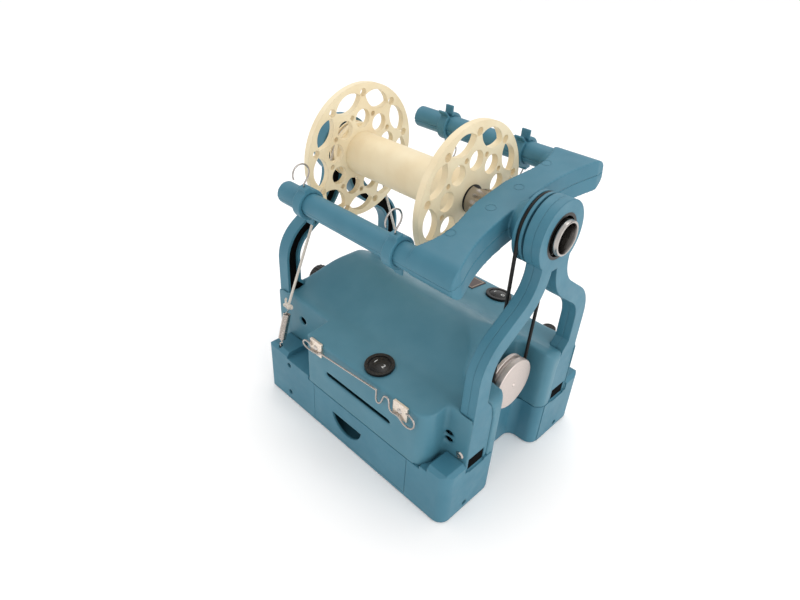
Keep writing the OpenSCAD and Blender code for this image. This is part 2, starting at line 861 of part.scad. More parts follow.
module front_upright_back() {
    from = front_upright_x;
    to = upright_mid_x - seam_gap / 2;
    color(teal) difference() {
        union() {
            channel(from, to, from - over, from + shell_wall, orifice_bearing_r);
            upright_screw_bosses(from + shell_wall, to);
        }
        at_spindle() rod_x(front_bearing_x - over, to + over, orifice_bearing_r + bearing_fit);
        at_spindle() rod_x(from - over, to + over, orifice_bearing_r - race_t);
        upright_screw_holes(upright_screw_r + pilot_gap, from - over, to + over);
        upright_screw_holes(screw_head_r - pilot_gap, from - over, from + shell_wall / 2);
        foot_screw_holes();
    }
}
module upright_screws() {
    color(steel) {
        upright_screw_holes(upright_screw_r, front_upright_x + gap,
            front_upright_x + upright_depth - shell_wall - gap);
        upright_screw_holes(screw_head_r - gap, front_upright_x + gap, front_upright_x + shell_wall / 2);
    }
}
module rear_upright() {
    from = rear_upright_x;
    to = rear_upright_x + upright_depth;
    color(teal) difference() {
        channel(from, to, from - over, from + shell_wall, rear_bearing_r);
        at_spindle() rod_x(rear_bearing_x, to + over, rear_bearing_r + bearing_fit);
        at_spindle() rod_x(rear_bearing_x - gap, to, rear_ball_ring + gap);
        foot_screw_holes();
    }
}
module foot_screws() {
    color(nickel) for (side = [-1, 1], x = [front_upright_x, rear_upright_x])
        translate([x + upright_depth / 2, side * tower_half, foot_screw_z]) rotate([side * 90, 0, 0]) {
            cylinder(h = shell_wall + screw_head_h, r = screw_r);
            difference() {
                intersection() {
                    translate([0, 0, -screw_head_h / 2]) cylinder(h = screw_head_h / 2, r = foot_head_r);
                    translate([0, 0, screw_head_h]) sphere(r = foot_head_r + over / 2);
                }
                for (turn = [0, 90]) rotate([0, 0, turn])
                    translate([-screw_r, -gap, -screw_head_h])
                        cube([2 * screw_r, 2 * gap, screw_head_h / 2 + gap]);
            }
        }
}

// Ball bearings
module race(x, r_out, r_in, ball_ring) {
    at_spindle() translate([x, 0, 0]) rotate([0, 90, 0]) rotate_extrude() difference() {
        translate([r_in, 0]) square([r_out - r_in, bearing_w]);
        translate([ball_ring, bearing_w / 2]) circle(race_t + ball_gap, $fn = small_fn);
    }
}
module balls(x, ball_ring) {
    at_spindle() translate([x + bearing_w / 2, 0, 0])
        for (i = [0 : ball_count - 1]) rotate([360 * i / ball_count, 0, 0])
            translate([0, ball_ring, 0]) sphere(r = race_t, $fn = small_fn);
}
front_ball_ring = (orifice_bearing_r + orifice_bearing_in) / 2;
rear_ball_ring = (rear_bearing_r + rear_bearing_in) / 2;
module front_bearing_outer_ring() {
    color(steel) race(front_bearing_x, orifice_bearing_r, front_ball_ring + race_t / 2, front_ball_ring);
}
module front_bearing_inner_ring() {
    color(steel) race(front_bearing_x, front_ball_ring - race_t / 2, orifice_bearing_in, front_ball_ring);
}
module front_bearing_balls() {
    color(steel) balls(front_bearing_x, front_ball_ring);
}
module rear_bearing_outer_ring() {
    color(steel) race(rear_bearing_x, rear_bearing_r, rear_ball_ring + race_t / 2, rear_ball_ring);
}
module rear_bearing_inner_ring() {
    color(steel) race(rear_bearing_x, rear_ball_ring - race_t / 2, rear_bearing_in, rear_ball_ring);
}
module rear_bearing_balls() {
    color(steel) balls(rear_bearing_x, rear_ball_ring);
}

// Motor, bracket, shaft and pulley
module motor() {
    color(steel) translate([0, 0, motor_z]) difference() {
        union() {
            rod_x(motor_face_x - motor_length, motor_face_x, motor_r);
            rod_x(motor_face_x - over, motor_face_x + motor_nose, motor_nose_r);
            rod_x(motor_face_x - motor_length - motor_nose, motor_face_x - motor_length + over,
                motor_nose_r);
        }
        rod_x(motor_face_x - motor_length / 2, motor_face_x + motor_nose + over, motor_shaft_r + run_gap);
        for (side = [-1, 1]) translate([0, side * motor_screw_spot, 0])
            rod_x(motor_face_x - 2 * wall, motor_face_x + over, motor_screw_r + pilot_gap);
    }
}
module bracket_spots() {
    for (side = [-1, 1], lift = [-1, 1]) translate([0, side * bracket_screw, lift * bracket_screw])
        children();
}
module motor_bracket() {
    color(steel) translate([0, 0, motor_z]) difference() {
        along_x(motor_face_x, motor_face_x + bracket_t)
            rounded([-bracket_half, -bracket_half], [bracket_half, bracket_half], wall);
        rod_x(motor_face_x - over, motor_face_x + bracket_t + over, bracket_hole_r);
        bracket_spots()
            rod_x(motor_face_x - over, motor_face_x + bracket_t + over, motor_screw_r + pilot_gap);
        for (side = [-1, 1]) translate([0, side * motor_screw_spot, 0]) {
            rod_x(motor_face_x - over, motor_face_x + bracket_t + over, motor_screw_r + pilot_gap);
            rod_x(motor_face_x + bracket_t - over, motor_face_x + bracket_t + over,
                motor_screw_r + over + pilot_gap);
        }
    }
}
module motor_screws() {
    bracket_front = motor_face_x + bracket_t;
    color(nickel) translate([0, 0, motor_z]) {
        bracket_spots() {
            rod_x(motor_face_x - over, bracket_front + motor_screw_grip - gap, motor_screw_r);
            rod_x(motor_face_x - over, motor_face_x, motor_screw_r + over);
        }
        for (side = [-1, 1]) translate([0, side * motor_screw_spot, 0]) {
            rod_x(motor_face_x - wall, bracket_front - over / 2, motor_screw_r);
            rod_x(bracket_front - over, bracket_front - gap, motor_screw_r + over);
        }
    }
}
module motor_shaft() {
    color(steel) translate([0, 0, motor_z])
        rod_x(motor_face_x - motor_length / 2 + gap, pulley_right - 2 * over, motor_shaft_r);
}
module groove_wheel(left, right, rim_r, depth, mid) {
    difference() {
        rod_x(left, right, rim_r);
        translate([mid, 0, 0]) rotate([0, 90, 0]) rotate_extrude()
            translate([rim_r - depth + belt_r + run_gap, 0])
                circle(belt_r + run_gap, $fn = small_fn);
        translate([mid, 0, 0]) rotate([0, 90, 0]) rotate_extrude()
            translate([rim_r - depth + belt_r + run_gap, -belt_r - run_gap])
                square([depth, 2 * (belt_r + run_gap)]);
    }
}
module motor_pulley() {
    color(nickel) translate([0, 0, motor_z]) difference() {
        union() {
            groove_wheel(pulley_left, pulley_right, pulley_r, groove_depth, belt_x);
            rod_x(pulley_hub_left, pulley_left + over, pulley_hub_r);
        }
        rod_x(pulley_hub_left - over, pulley_right - 2 * over, motor_shaft_r);
        rod_x(pulley_right - over / 2, pulley_right + over, pulley_mark_r);
    }
}

// Belt in the grooves of pulley and whorl
pulley_belt_r = pulley_r - groove_depth + belt_r + run_gap;
whorl_belt_r = whorl_r - groove_depth + belt_r + run_gap;
module drive_belt() {
    lean = asin((whorl_belt_r - pulley_belt_r) / (spindle_height - motor_z));
    low = [for (i = [0 : belt_wrap_steps]) let (a = 180 - lean + (180 + 2 * lean) * i / belt_wrap_steps)
        [belt_x, pulley_belt_r * cos(a), motor_z + pulley_belt_r * sin(a)]];
    high = [for (i = [0 : belt_wrap_steps]) let (a = -lean + (180 + 2 * lean) * i / belt_wrap_steps)
        [belt_x, whorl_belt_r * cos(a), spindle_height + whorl_belt_r * sin(a)]];
    loop = laid(concat(low, high, [low[0]]), belt_step);
    color(black) sweep([for (i = [0 : len(loop) - 2]) loop[i]], belt_r, cord_sides, [1, 0, 0], true);
}

// Control board and power inlet
module control_board() {
    z = floor_top + board_lift;
    color(board_green) {
        box([board_x, board_y, z], [board_x + board_l, board_y + board_w, z + board_t]);
        for (i = [0 : 2]) translate([board_x + board_l * (i + 1) / 4, board_y + board_w / 2, z + board_t])
            cube([chip_l, chip_w, chip_h]);
        for (i = [0 : 1])
            translate([board_x + board_l * (i + 1) / 3, board_y + board_w - 2 * board_inset, z + board_t])
            cylinder(h = cap_h, r = cap_r);
    }
}
module dc_jack() {
    color(black) translate([0, jack_y, jack_z]) {
        difference() {
            union() {
                rod_x(rear_x, rear_x + jack_length, jack_r);
                rod_x(rear_x - jack_rim, rear_x, jack_rim_r);
            }
            rod_x(rear_x - jack_rim - over, rear_x + jack_depth, jack_bore_r);
        }
        rod_x(rear_x, rear_x + jack_depth + over, jack_pin_r);
    }
}

// Rocker switches, speed control and label plate
module switch_body(side) {
    color(black) at_switch(side) difference() {
        union() {
            cylinder(h = bezel_t, r = bezel_r);
            translate([0, 0, -switch_barrel_h]) cylinder(h = switch_barrel_h + over, r = switch_barrel_r);
        }
        translate([0, 0, bezel_t - switch_well_h]) cylinder(h = switch_well_h + over, r = switch_well_r);
        pivot(switch_well_r + pin_reach + gap, pivot_r + run_gap);
    }
}
module pivot(half, r) {
    translate([0, half, bezel_t + rocker_lift - rocker_t + pivot_r]) rotate([90, 0, 0])
        cylinder(h = 2 * half, r = r, $fn = small_fn);
}
module rocker(side) {
    color(black) at_switch(side) {
        intersection() {
            translate([0, 0, bezel_t + rocker_lift - rocker_t]) cylinder(h = rocker_t + over, r = rocker_r);
            translate([0, 0, bezel_t + rocker_lift - rocker_crown_r])
                sphere(r = rocker_crown_r, $fn = rocker_fn);
        }
        pivot(switch_well_r + pin_reach, pivot_r);
    }
}
module direction_switch_body() {
    switch_body(-1);
}
module power_switch_body() {
    switch_body(1);
}
module direction_rocker() {
    rocker(-1);
}
module power_rocker() {
    rocker(1);
}
module speed_pot() {
    color(steel) translate([speed_x, speed_y, 0]) difference() {
        translate([0, 0, speed_shelf_height - wall - pot_h]) cylinder(h = pot_h, r = pot_r);
        translate([0, 0, speed_shelf_height - wall - pot_h / 2])
            cylinder(h = pot_h, r = speed_shaft_r + run_gap);
    }
}
module speed_knob() {
    z = speed_shelf_height + speed_gap;
    color(black) translate([speed_x, speed_y, 0]) {
        translate([0, 0, z]) cylinder(h = speed_knob_h, r = speed_knob_r);
        translate([0, 0, speed_shelf_height - wall - pot_h / 2 + gap])
            cylinder(h = pot_h, r = speed_shaft_r);
    }
}
module label_plate() {
    color(black) translate([0, half_wid, edge_height]) rotate([-switch_tilt, 0, 0])
        translate([label_left, label_near_y - half_wid, 0])
            cube([label_right - label_left, label_far_y - label_near_y, label_t]);
}

// Brake knob at the rear and the spool that takes the cord up
module brake_knob() {
    color(black) translate([0, brake_knob_y, brake_knob_z]) {
        difference() {
            rod_x(rear_x - gap - brake_knob_w, rear_x - gap, brake_knob_r);
            for (i = [0 : knurl_count - 1]) rotate([360 * i / knurl_count, 0, 0])
                translate([0, brake_knob_r, 0])
                rod_x(rear_x - gap - brake_knob_w - over, rear_x, knurl_r);
        }
        rod_x(rear_x - over, rear_x + wall + gap, brake_knob_shaft_r);
    }
}
module brake_spool() {
    from = rear_x + wall + gap;
    color(nickel) translate([0, brake_knob_y, brake_knob_z]) {
        rod_x(from, from + spool_w, spool_r);
        rod_x(from, from + over, spool_rim_r);
        rod_x(from + spool_w - over, from + spool_w, spool_rim_r);
    }
}

// Threading hook of bent wire on its two holders
module threader_holders() {
    color(nickel) for (x = [holder_left_x, holder_right_x]) difference() {
        along_y(-half_wid - holder_t, -half_wid)
            rounded([x - holder_l / 2, holder_z - holder_h / 2],
                [x + holder_l / 2, holder_z + holder_h / 2], over);
        translate([x, -half_wid + over, holder_z]) rotate([90, 0, 0])
            cylinder(h = holder_t + 2 * over, r = upright_screw_r + pilot_gap, $fn = small_fn);
    }
}
module threader_screws() {
    color(steel) for (x = [holder_left_x, holder_right_x]) translate([x, -half_wid - holder_t, holder_z])
        rotate([90, 0, 0]) {
            intersection() {
                cylinder(h = holder_dome_h, r = holder_dome_r);
                translate([0, 0, -holder_dome_h]) sphere(r = holder_dome_r + gap);
            }
            translate([0, 0, -holder_t - wall]) cylinder(h = holder_t + wall, r = upright_screw_r);
        }
}
module threading_hook() {
    color(steel) sweep([for (p = hook_route) [p[0], hook_y, holder_z + p[1]]], hook_wire_r, wire_sides,
        [0, 1, 0]);
}

// Brake cord from its knot over the groove and down the far side to the spool
function wrap_angle(p) =
    let (d = [p[1], p[2] - spindle_height], reach = norm(d))
    [atan2(d[1], d[0]), acos(cord_wrap_r / reach)];
module brake_cord() {
    near = wrap_angle(knot_at);
    far = wrap_angle(cord_end_route[0]);
    from = near[0] - near[1] + 360;
    to = far[0] + far[1];
    wrap = [for (i = [0 : wrap_steps]) let (a = from + (to - from) * i / wrap_steps)
        [brake_x, cord_wrap_r * cos(a), spindle_height + cord_wrap_r * sin(a)]];
    color(cream) {
        sweep(laid(concat([knot_at], wrap, cord_end_route), cord_step), brake_cord_r, cord_sides,
            [1, 0.1, 0]);
        translate(knot_at) sphere(r = knot_r, $fn = small_fn);
        translate(knot_at + [-knot_r, -knot_r / 2, 0]) sphere(r = knot_r * knot_share, $fn = small_fn);
        translate(knot_at + [knot_r, knot_r / 2, 0]) sphere(r = knot_r * knot_share, $fn = small_fn);
    }
}
spring_axis = unit(spring_bottom - spring_top);
spring_side = unit(cross(spring_axis, [1, 0, 0]));
spring_out = cross(spring_axis, spring_side);
spring_length = norm(spring_bottom - spring_top);
spring_points = [for (i = [0 : spring_turns * spring_rings]) let (a = 360 * i / spring_rings)
    spring_top + spring_axis * (spring_length * i / (spring_turns * spring_rings))
    + spring_r * (cos(a) * spring_side + sin(a) * spring_out)];
spring_least_gap = spring_length / spring_turns - 2 * spring_wire_r;
module brake_spring() {
    top_hook = [knot_at + [0, 0, -knot_r - spring_wire_r - gap],
        (knot_at + spring_top) / 2 + [0, 0, -gap], spring_top + spring_r / 2 * spring_side - spring_axis];
    low_hook = [spring_bottom + spring_r / 2 * spring_side + spring_axis,
        (spring_bottom + spring_hook_at) / 2, spring_hook_at, spring_hook_at + [0, 0, -block_chamfer]];
    color(nickel) sweep(concat(top_hook, spring_points, low_hook), spring_wire_r, wire_sides,
        [1, 0.4, 0.1]);
}
echo(spring_least_gap = spring_least_gap);

// Drawer with a half-moon finger hole
moon_left = -18;
moon_right = 17;
moon_top = 28;
moon_drop = 15.5;
module drawer() {
    low = floor_top + 2 * gap;
    top = seam_height - gap;
    right = drawer_left + drawer_length;
    back = -half_wid + drawer_depth;
    moon_half = (moon_right - moon_left) / 2;
    moon_r = (moon_half * moon_half + moon_drop * moon_drop) / (2 * moon_drop);
    color(teal) difference() {
        box([drawer_left, -half_wid, low], [right, back, top]);
        box([drawer_left + drawer_wall, -half_wid + drawer_wall, low + drawer_wall],
            [right - drawer_wall, back - drawer_wall, top + over]);
        intersection() {
            translate([moon_left + moon_half, -half_wid + 2 * drawer_wall, moon_top - moon_drop + moon_r])
                rotate([90, 0, 0]) cylinder(h = 3 * drawer_wall, r = moon_r);
            box([moon_left, -half_wid - over, moon_top - moon_drop],
                [moon_right, -half_wid + 3 * drawer_wall, moon_top]);
        }
    }
}

// Flyer: outline of one half, then two clam shells with half tubes
function curve(a, b, c, d, n) = [for (i = [0 : n]) let (t = i / n, u = 1 - t)
    u * u * u * a + 3 * u * u * t * b + 3 * u * t * t * c + t * t * t * d];
function flyer_half(inset) =
    let (outer = arm_radius + arm_r - inset, left = [inset, 0])
    concat([[edge_left_x + inset, 0]],
        curve(left + [edge_left_x, arm_radius * hub_share],
            left + [edge_left_pull_x, arm_radius * left_pull_share],
            left + [edge_left_belly_x, arm_radius * left_belly_share], left + [edge_left_end_x, arm_radius],
            edge_steps),
        [[edge_left_end_x + inset, outer]],
        arc_points(flyer_tip_x - inset - tip_r, outer - tip_r, tip_r, 90, 0, tip_steps),
        curve([flyer_tip_x, arm_radius] - left,
            [edge_right_belly_x, arm_radius * right_belly_share] - left,
            [edge_right_pull_x, arm_radius * right_pull_share] - left,
            [edge_right_x, arm_radius * hub_share] - left, edge_steps),
        [[edge_right_x - inset, 0]]);
module flyer_outline(inset) {
    for (side = [0, 1]) mirror([0, side]) polygon(flyer_half(inset));
}
module flyer_mass(inset) {
    half = plate_half - inset;
    intersection() {
        translate([0, 0, -half]) linear_extrude(2 * half) flyer_outline(inset);
        union() {
            box([0, -plate_round_y, -half], [2 * flyer_tip_x, plate_round_y, half]);
            for (side = [-1, 1]) translate([0, side * plate_round_y, 0])
                rod_x(0, 2 * flyer_tip_x, half);
        }
    }
    for (side = [-1, 1]) translate([0, side * arm_radius, 0])
        rod_x(arm_rear_x + inset, edge_left_end_x + 2 * flyer_wall, arm_r - inset);
    for (side = [-1, 1]) translate([blend_left_x, side * plate_round_y, 0]) rotate([0, 90, 0])
        cylinder(h = blend_right_x - blend_left_x, r1 = 2 * arm_r - plate_half - inset, r2 = half);
}
module flyer_shell(up) {
    reach = 2 * arm_radius;
    color(teal) on_flyer() difference() {
        union() {
            difference() {
                flyer_mass(0);
                flyer_mass(flyer_wall);
            }
            intersection() {
                flyer_mass(0);
                union() {
                    for (side = [-1, 1], spot = pin_spots)
                        translate([spot[0], side * spot[1], -plate_half])
                            cylinder(h = 2 * plate_half, r = pin_r);
                }
            }
            rod_x(edge_left_x, hub_right_x, hub_r);
            translate([edge_right_x - over, 0, 0]) rotate([0, 90, 0])
                cylinder(h = hub_right_x - edge_right_x + over, r1 = hub_r, r2 = hub_flare_r);
        }
        rod_x(edge_left_x - over, hub_right_x + over, tube_r);
        for (side = [-1, 1], spot = pin_spots)
            translate([spot[0], side * spot[1], -plate_half + flyer_wall])
                cylinder(h = 2 * (plate_half - flyer_wall), r = flyer_screw_r + pilot_gap, $fn = small_fn);
        translate([-reach, -reach, up == 1 ? -2 * reach : 0]) cube(2 * reach);
    }
}
module flyer_upper_shell() {
    flyer_shell(1);
}
module flyer_lower_shell() {
    flyer_shell(0);
}
module flyer_screws() {
    color(steel) on_flyer() for (side = [-1, 1], spot = pin_spots)
        translate([spot[0], side * spot[1], -plate_half + flyer_wall + gap])
            cylinder(h = 2 * (plate_half - flyer_wall - gap), r = flyer_screw_r, $fn = small_fn);
}
module drive_whorl() {
    color(teal) at_spindle() difference() {
        groove_wheel(whorl_left, whorl_right, whorl_r, groove_depth, belt_x);
        rod_x(whorl_left - over, whorl_right + over, tube_r);
    }
}
module orifice_tube() {
    color(steel) on_flyer() difference() {
        union() {
            rod_x(tube_rear_x, front_upright_x + gap, tube_r);
            rod_x(front_upright_x, tube_front_x + over, orifice_bearing_in - bearing_fit);
            rod_x(tube_front_x, tube_front_x + lip_w, lip_r);
        }
        rod_x(tube_rear_x - over, tube_rear_x + shaft_seat, shaft_r);
        rod_x(tube_bore_x, tube_front_x + lip_w + over, tube_bore_r);
        rod_x(tube_front_x, tube_front_x + lip_w + over, lip_flare);
        translate([scoop_x, 0, 0]) rotate([-40, 0, 0]) rotate([0, -35, 0])
            translate([0, 0, scoop_lift - over]) cylinder(h = 2 * tube_r, r = scoop_r);
    }
}
module flyer_shaft() {
    color(steel) at_spindle() rod_x(rear_bearing_x, tube_rear_x + shaft_seat, shaft_r);
}

// Bobbin with openwork flanges of leaves, rounds and small petals
module flange_openings() {
    for (i = [0 : opening_count - 1]) rotate(360 * i / opening_count) {
        intersection() {
            translate([outer_opening_ring - leaf_offset, 0]) circle(leaf_r);
            translate([outer_opening_ring + leaf_offset, 0]) circle(leaf_r);
        }
        translate([seed_ring, 0]) circle(seed_r, $fn = small_fn);
        rotate(180 / opening_count) {
            translate([inner_opening_ring, 0]) circle(inner_opening_r);
            translate([petal_ring, 0]) circle(petal_r, $fn = small_fn);
        }
    }
}
module flange(from, to, bore) {
    at_spindle() translate([from, 0, 0]) rotate([0, 90, 0]) linear_extrude(to - from) difference() {
        circle(flange_r);
        circle(bore);
        flange_openings();
    }
}
module bobbin_barrel() {
    color(cream) at_spindle() difference() {
        rod_x(bobbin_rear_x, bobbin_front_x - flange_t, barrel_r);
        rod_x(bobbin_rear_x - over, bobbin_front_x - flange_t + over, barrel_r - barrel_wall);
    }
}
module bobbin_front_flange() {
    color(cream) flange(bobbin_front_x - flange_t, bobbin_front_x, bushing_r);
}
module bobbin_rear_flange() {
    from = bobbin_rear_x - flange_t;
    color(cream) {
        flange(from, bobbin_rear_x, bushing_r);
        at_spindle() difference() {
            rod_x(from - brake_wheel_w, from, brake_flange_r);
            rod_x(from - brake_wheel_w - over, from + over, bushing_r);
            translate([brake_x, 0, 0]) rotate([0, 90, 0]) rotate_extrude()
                translate([brake_groove_r, -brake_cord_r - gap])
                    square([brake_flange_r, 2 * (brake_cord_r + gap)]);
        }
    }
}
bushing_r = rear_bearing_in + bushing_wall;
module bobbin_bushings() {
    color(black) at_spindle() {
        for (x = [bobbin_rear_x - flange_t, bobbin_front_x - bushing_l]) difference() {
            rod_x(x, x + bushing_l, bushing_r);
            rod_x(x - over, x + bushing_l + over, shaft_r + run_gap);
        }
        difference() {
            rod_x(bobbin_front_x, bobbin_front_x + washer_w, tube_r - gap);
            rod_x(bobbin_front_x - over, bobbin_front_x + washer_w + over, shaft_r + run_gap);
        }
    }
}

// Sliding clips with wire hooks: the far ones are turned over
module on_arm(x, side) {
    on_flyer() translate([x, side * arm_radius, 0]) rotate([side > 0 ? 180 : 0, 0, 0]) children();
}
module clip(x, side) {
    half = clip_w / 2;
    color(teal) on_arm(x, side) difference() {
        union() {
            rod_x(-half, half, clip_r);
            translate([-half, -clip_boss_w / 2, clip_r - over]) cube([clip_w, clip_boss_w, clip_boss_h]);
            rotate([clip_turn, 0, 0]) for (edge = [-1, 1])
                translate([-half, edge * clip_slot / 2, clip_r - over]) rotate([-edge * ear_lean, 0, 0])
                    translate([0, (edge - 1) * ear_t / 2, 0]) cube([clip_w, ear_t, ear_l]);
        }
        rod_x(-half - over, half + over, arm_r + run_gap);
        rotate([clip_turn, 0, 0]) translate([-half - over, -clip_slot / 2, 0])
            cube([clip_w + 2 * over, clip_slot, clip_r]);
        translate([0, 0, clip_r]) cylinder(h = clip_boss_h, r = clip_wire_r + pilot_gap, $fn = small_fn);
    }
}
module clip_wire(x, side) {
    centre = clip_r + clip_boss_h + hook_loop_lift;
    loop = [for (i = [0 : hook_steps]) let (a = hook_start_angle +
        (hook_end_angle - hook_start_angle) * i / hook_steps)
        [0, hook_loop_r * cos(a), centre + hook_loop_r * sin(a)]];
    stem = [[0, 0, clip_r + gap], [0, 0, clip_r + clip_boss_h],
        [0, clip_wire_r, clip_r + clip_boss_h + over]];
    color(steel) on_arm(x, side) sweep(concat(stem, loop), clip_wire_r, wire_sides, [1, 0, 0]);
}
module clip_near_rear() {
    clip(clip_near_rear_x, -1);
}
module clip_near_front() {
    clip(clip_near_front_x, -1);
}
module clip_far_rear() {
    clip(clip_far_rear_x, 1);
}
module clip_far_front() {
    clip(clip_far_front_x, 1);
}
module clip_wire_near_rear() {
    clip_wire(clip_near_rear_x, -1);
}
module clip_wire_near_front() {
    clip_wire(clip_near_front_x, -1);
}
module clip_wire_far_rear() {
    clip_wire(clip_far_rear_x, 1);
}
module clip_wire_far_front() {
    clip_wire(clip_far_front_x, 1);
}

base_housing();
rubber_feet();
top_cover();
housing_screws();
front_upright_face();
front_upright_back();
rear_upright();
foot_screws();
upright_screws();
front_bearing_outer_ring();
front_bearing_inner_ring();
front_bearing_balls();
rear_bearing_outer_ring();
rear_bearing_inner_ring();
rear_bearing_balls();
motor();
motor_bracket();
motor_screws();
motor_shaft();
motor_pulley();
control_board();
direction_switch_body();
power_switch_body();
direction_rocker();
power_rocker();
speed_pot();
speed_knob();
brake_knob();
brake_spool();
dc_jack();
label_plate();
threader_holders();
threader_screws();
threading_hook();
brake_spring();
brake_cord();
drive_belt();
drawer();
flyer_upper_shell();
flyer_lower_shell();
flyer_screws();
drive_whorl();
orifice_tube();
flyer_shaft();
bobbin_barrel();
bobbin_front_flange();
bobbin_rear_flange();
bobbin_bushings();
clip_near_rear();
clip_near_front();
clip_far_rear();
clip_far_front();
clip_wire_near_rear();
clip_wire_near_front();
clip_wire_far_rear();
clip_wire_far_front();
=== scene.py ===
import json
import math

import bpy
from mathutils import Matrix, Vector


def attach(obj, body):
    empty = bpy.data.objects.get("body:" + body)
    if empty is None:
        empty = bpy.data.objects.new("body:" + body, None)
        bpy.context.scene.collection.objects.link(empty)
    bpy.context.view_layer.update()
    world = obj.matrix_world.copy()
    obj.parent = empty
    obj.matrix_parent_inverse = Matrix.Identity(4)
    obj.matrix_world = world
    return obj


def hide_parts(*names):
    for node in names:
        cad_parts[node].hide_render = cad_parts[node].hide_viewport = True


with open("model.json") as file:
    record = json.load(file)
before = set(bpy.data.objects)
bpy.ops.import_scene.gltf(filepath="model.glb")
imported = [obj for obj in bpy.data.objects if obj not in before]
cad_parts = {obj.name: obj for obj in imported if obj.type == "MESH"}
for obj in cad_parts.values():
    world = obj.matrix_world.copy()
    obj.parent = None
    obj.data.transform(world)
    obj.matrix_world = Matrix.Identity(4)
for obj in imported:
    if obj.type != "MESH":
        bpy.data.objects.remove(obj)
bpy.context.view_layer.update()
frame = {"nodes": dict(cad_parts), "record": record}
cadNodes = frame["nodes"]
bodyOf = {node: body for body, held in frame["record"]["behaviour"]["bodies"].items() for node in held}
slotOf = {entry["node"]: entry["material_slot"] for entry in frame["record"]["subparts"]}
mm = 0.001
spindleUp, motorUp = 210.2, 78.7
flyerTilt = math.radians(12.5)
print("frame loaded:", len(cadNodes), "nodes")


# Camera at the photograph's place
view = {"lens": 26.358, "sensor": 36, "near": 0.01, "place": (256.41, -309.42, 376.30),
        "right": (0.70640688, 0.70584915, 0.05259562),
        "up": (-0.42495412, 0.36351652, 0.82901733),
        "back": (0.5660418, -0.60797427, 0.55674408)}


def deselect():
    if bpy.context.object and bpy.context.object.mode != "OBJECT":
        bpy.ops.object.mode_set(mode="OBJECT")
    bpy.ops.object.select_all(action="DESELECT")


def choose(piece):
    deselect()
    piece.select_set(True)
    bpy.context.view_layer.objects.active = piece
    return piece


deselect()
bpy.ops.object.camera_add()
camera = bpy.context.object
camera.name = "photoCamera"
camera.data.lens = view["lens"]
camera.data.sensor_width = view["sensor"]
camera.data.clip_start = view["near"]
facing = Matrix([view[key] for key in ("right", "up", "back")]).transposed().to_4x4()
camera.matrix_world = Matrix.Translation(Vector(view["place"]) * mm) @ facing
bpy.context.scene.camera = camera


# Node trees written as sums
class Wire:                                    # one socket that takes part in sums
    def __init__(self, finish, socket):
        self.finish, self.socket = finish, socket

    def math(self, operation, *others):
        inputs = dict(enumerate((self,) + others))
        return self.finish.node("ShaderNodeMath", {"operation": operation}, inputs)

    def __add__(self, other):
        return self.math("ADD", other)

    def __sub__(self, other):
        return self.math("SUBTRACT", other)

    def __mul__(self, other):
        return self.math("MULTIPLY", other)


class Finish:                                  # one material and its nodes
    def __init__(self, name, **constants):
        self.material = bpy.data.materials.new(name)
        self.material.use_nodes = True
        self.tree = self.material.node_tree
        self.shader = self.tree.nodes["Principled BSDF"]
        for key, value in constants.items():
            self.shader.inputs[key.replace("_", " ")].default_value = value

    def node(self, kind, settings=None, inputs=None, output=0):
        made = self.tree.nodes.new(kind)
        for key, value in (settings or {}).items():
            setattr(made, key, value)
        for key, value in (inputs or {}).items():
            self.feed(made.inputs[key], value)
        return Wire(self, made.outputs[output])

    def feed(self, socket, value):
        if isinstance(value, Wire):
            self.tree.links.new(value.socket, socket)
        else:
            socket.default_value = value

    def set(self, name, value):
        self.feed(self.shader.inputs[name], value)

    def place(self):                           # the piece's own place, in metres
        return self.node("ShaderNodeTexCoord", output="Object")

    def noise(self, scale, detail=2):
        inputs = {"Vector": self.place(), "Scale": scale, "Detail": detail}
        return self.node("ShaderNodeTexNoise", inputs=inputs)

    def axis(self, place, number):             # one coordinate of a place: 0, 1 or 2
        return self.node("ShaderNodeSeparateXYZ", inputs={0: place}, output=number)

    def mix(self, factor, first, second):
        return self.node("ShaderNodeMix", {"data_type": "RGBA"}, {0: factor, 6: first, 7: second}, output=2)

    def range(self, value, low, high, outLow=0, outHigh=1):
        inputs = {"Value": value, "From Min": low, "From Max": high, "To Min": outLow, "To Max": outHigh}
        return self.node("ShaderNodeMapRange", inputs=inputs)

    def rounded(self, radius):
        return self.node("ShaderNodeBevel", {"samples": 6}, {"Radius": radius})

    def bump(self, height, strength, distance, normal=None):
        inputs = {"Height": height, "Strength": strength, "Distance": distance}
        if normal:
            inputs["Normal"] = normal
        return self.node("ShaderNodeBump", inputs=inputs)

    def reach(self, middle):                   # distance from a spindle that runs along X
        spot = self.place()
        y = self.axis(spot, 1) - middle[0]
        z = self.axis(spot, 2) - middle[1]
        return (y * y + z * z).math("SQRT")


plastic = {"teal": (0.057, 0.192, 0.264, 1), "tealDeep": (0.047, 0.172, 0.240, 1),
           "tealWorn": (0.150, 0.340, 0.420, 1), "cover": (0.072, 0.208, 0.274, 1),
           "coverDeep": (0.060, 0.188, 0.250, 1), "cream": (0.850, 0.735, 0.510, 1),
           "creamWarm": (0.790, 0.650, 0.420, 1)}


def shade(colour, share):                      # a colour made darker by a share
    return tuple(part * share for part in colour[:3]) + (1,)


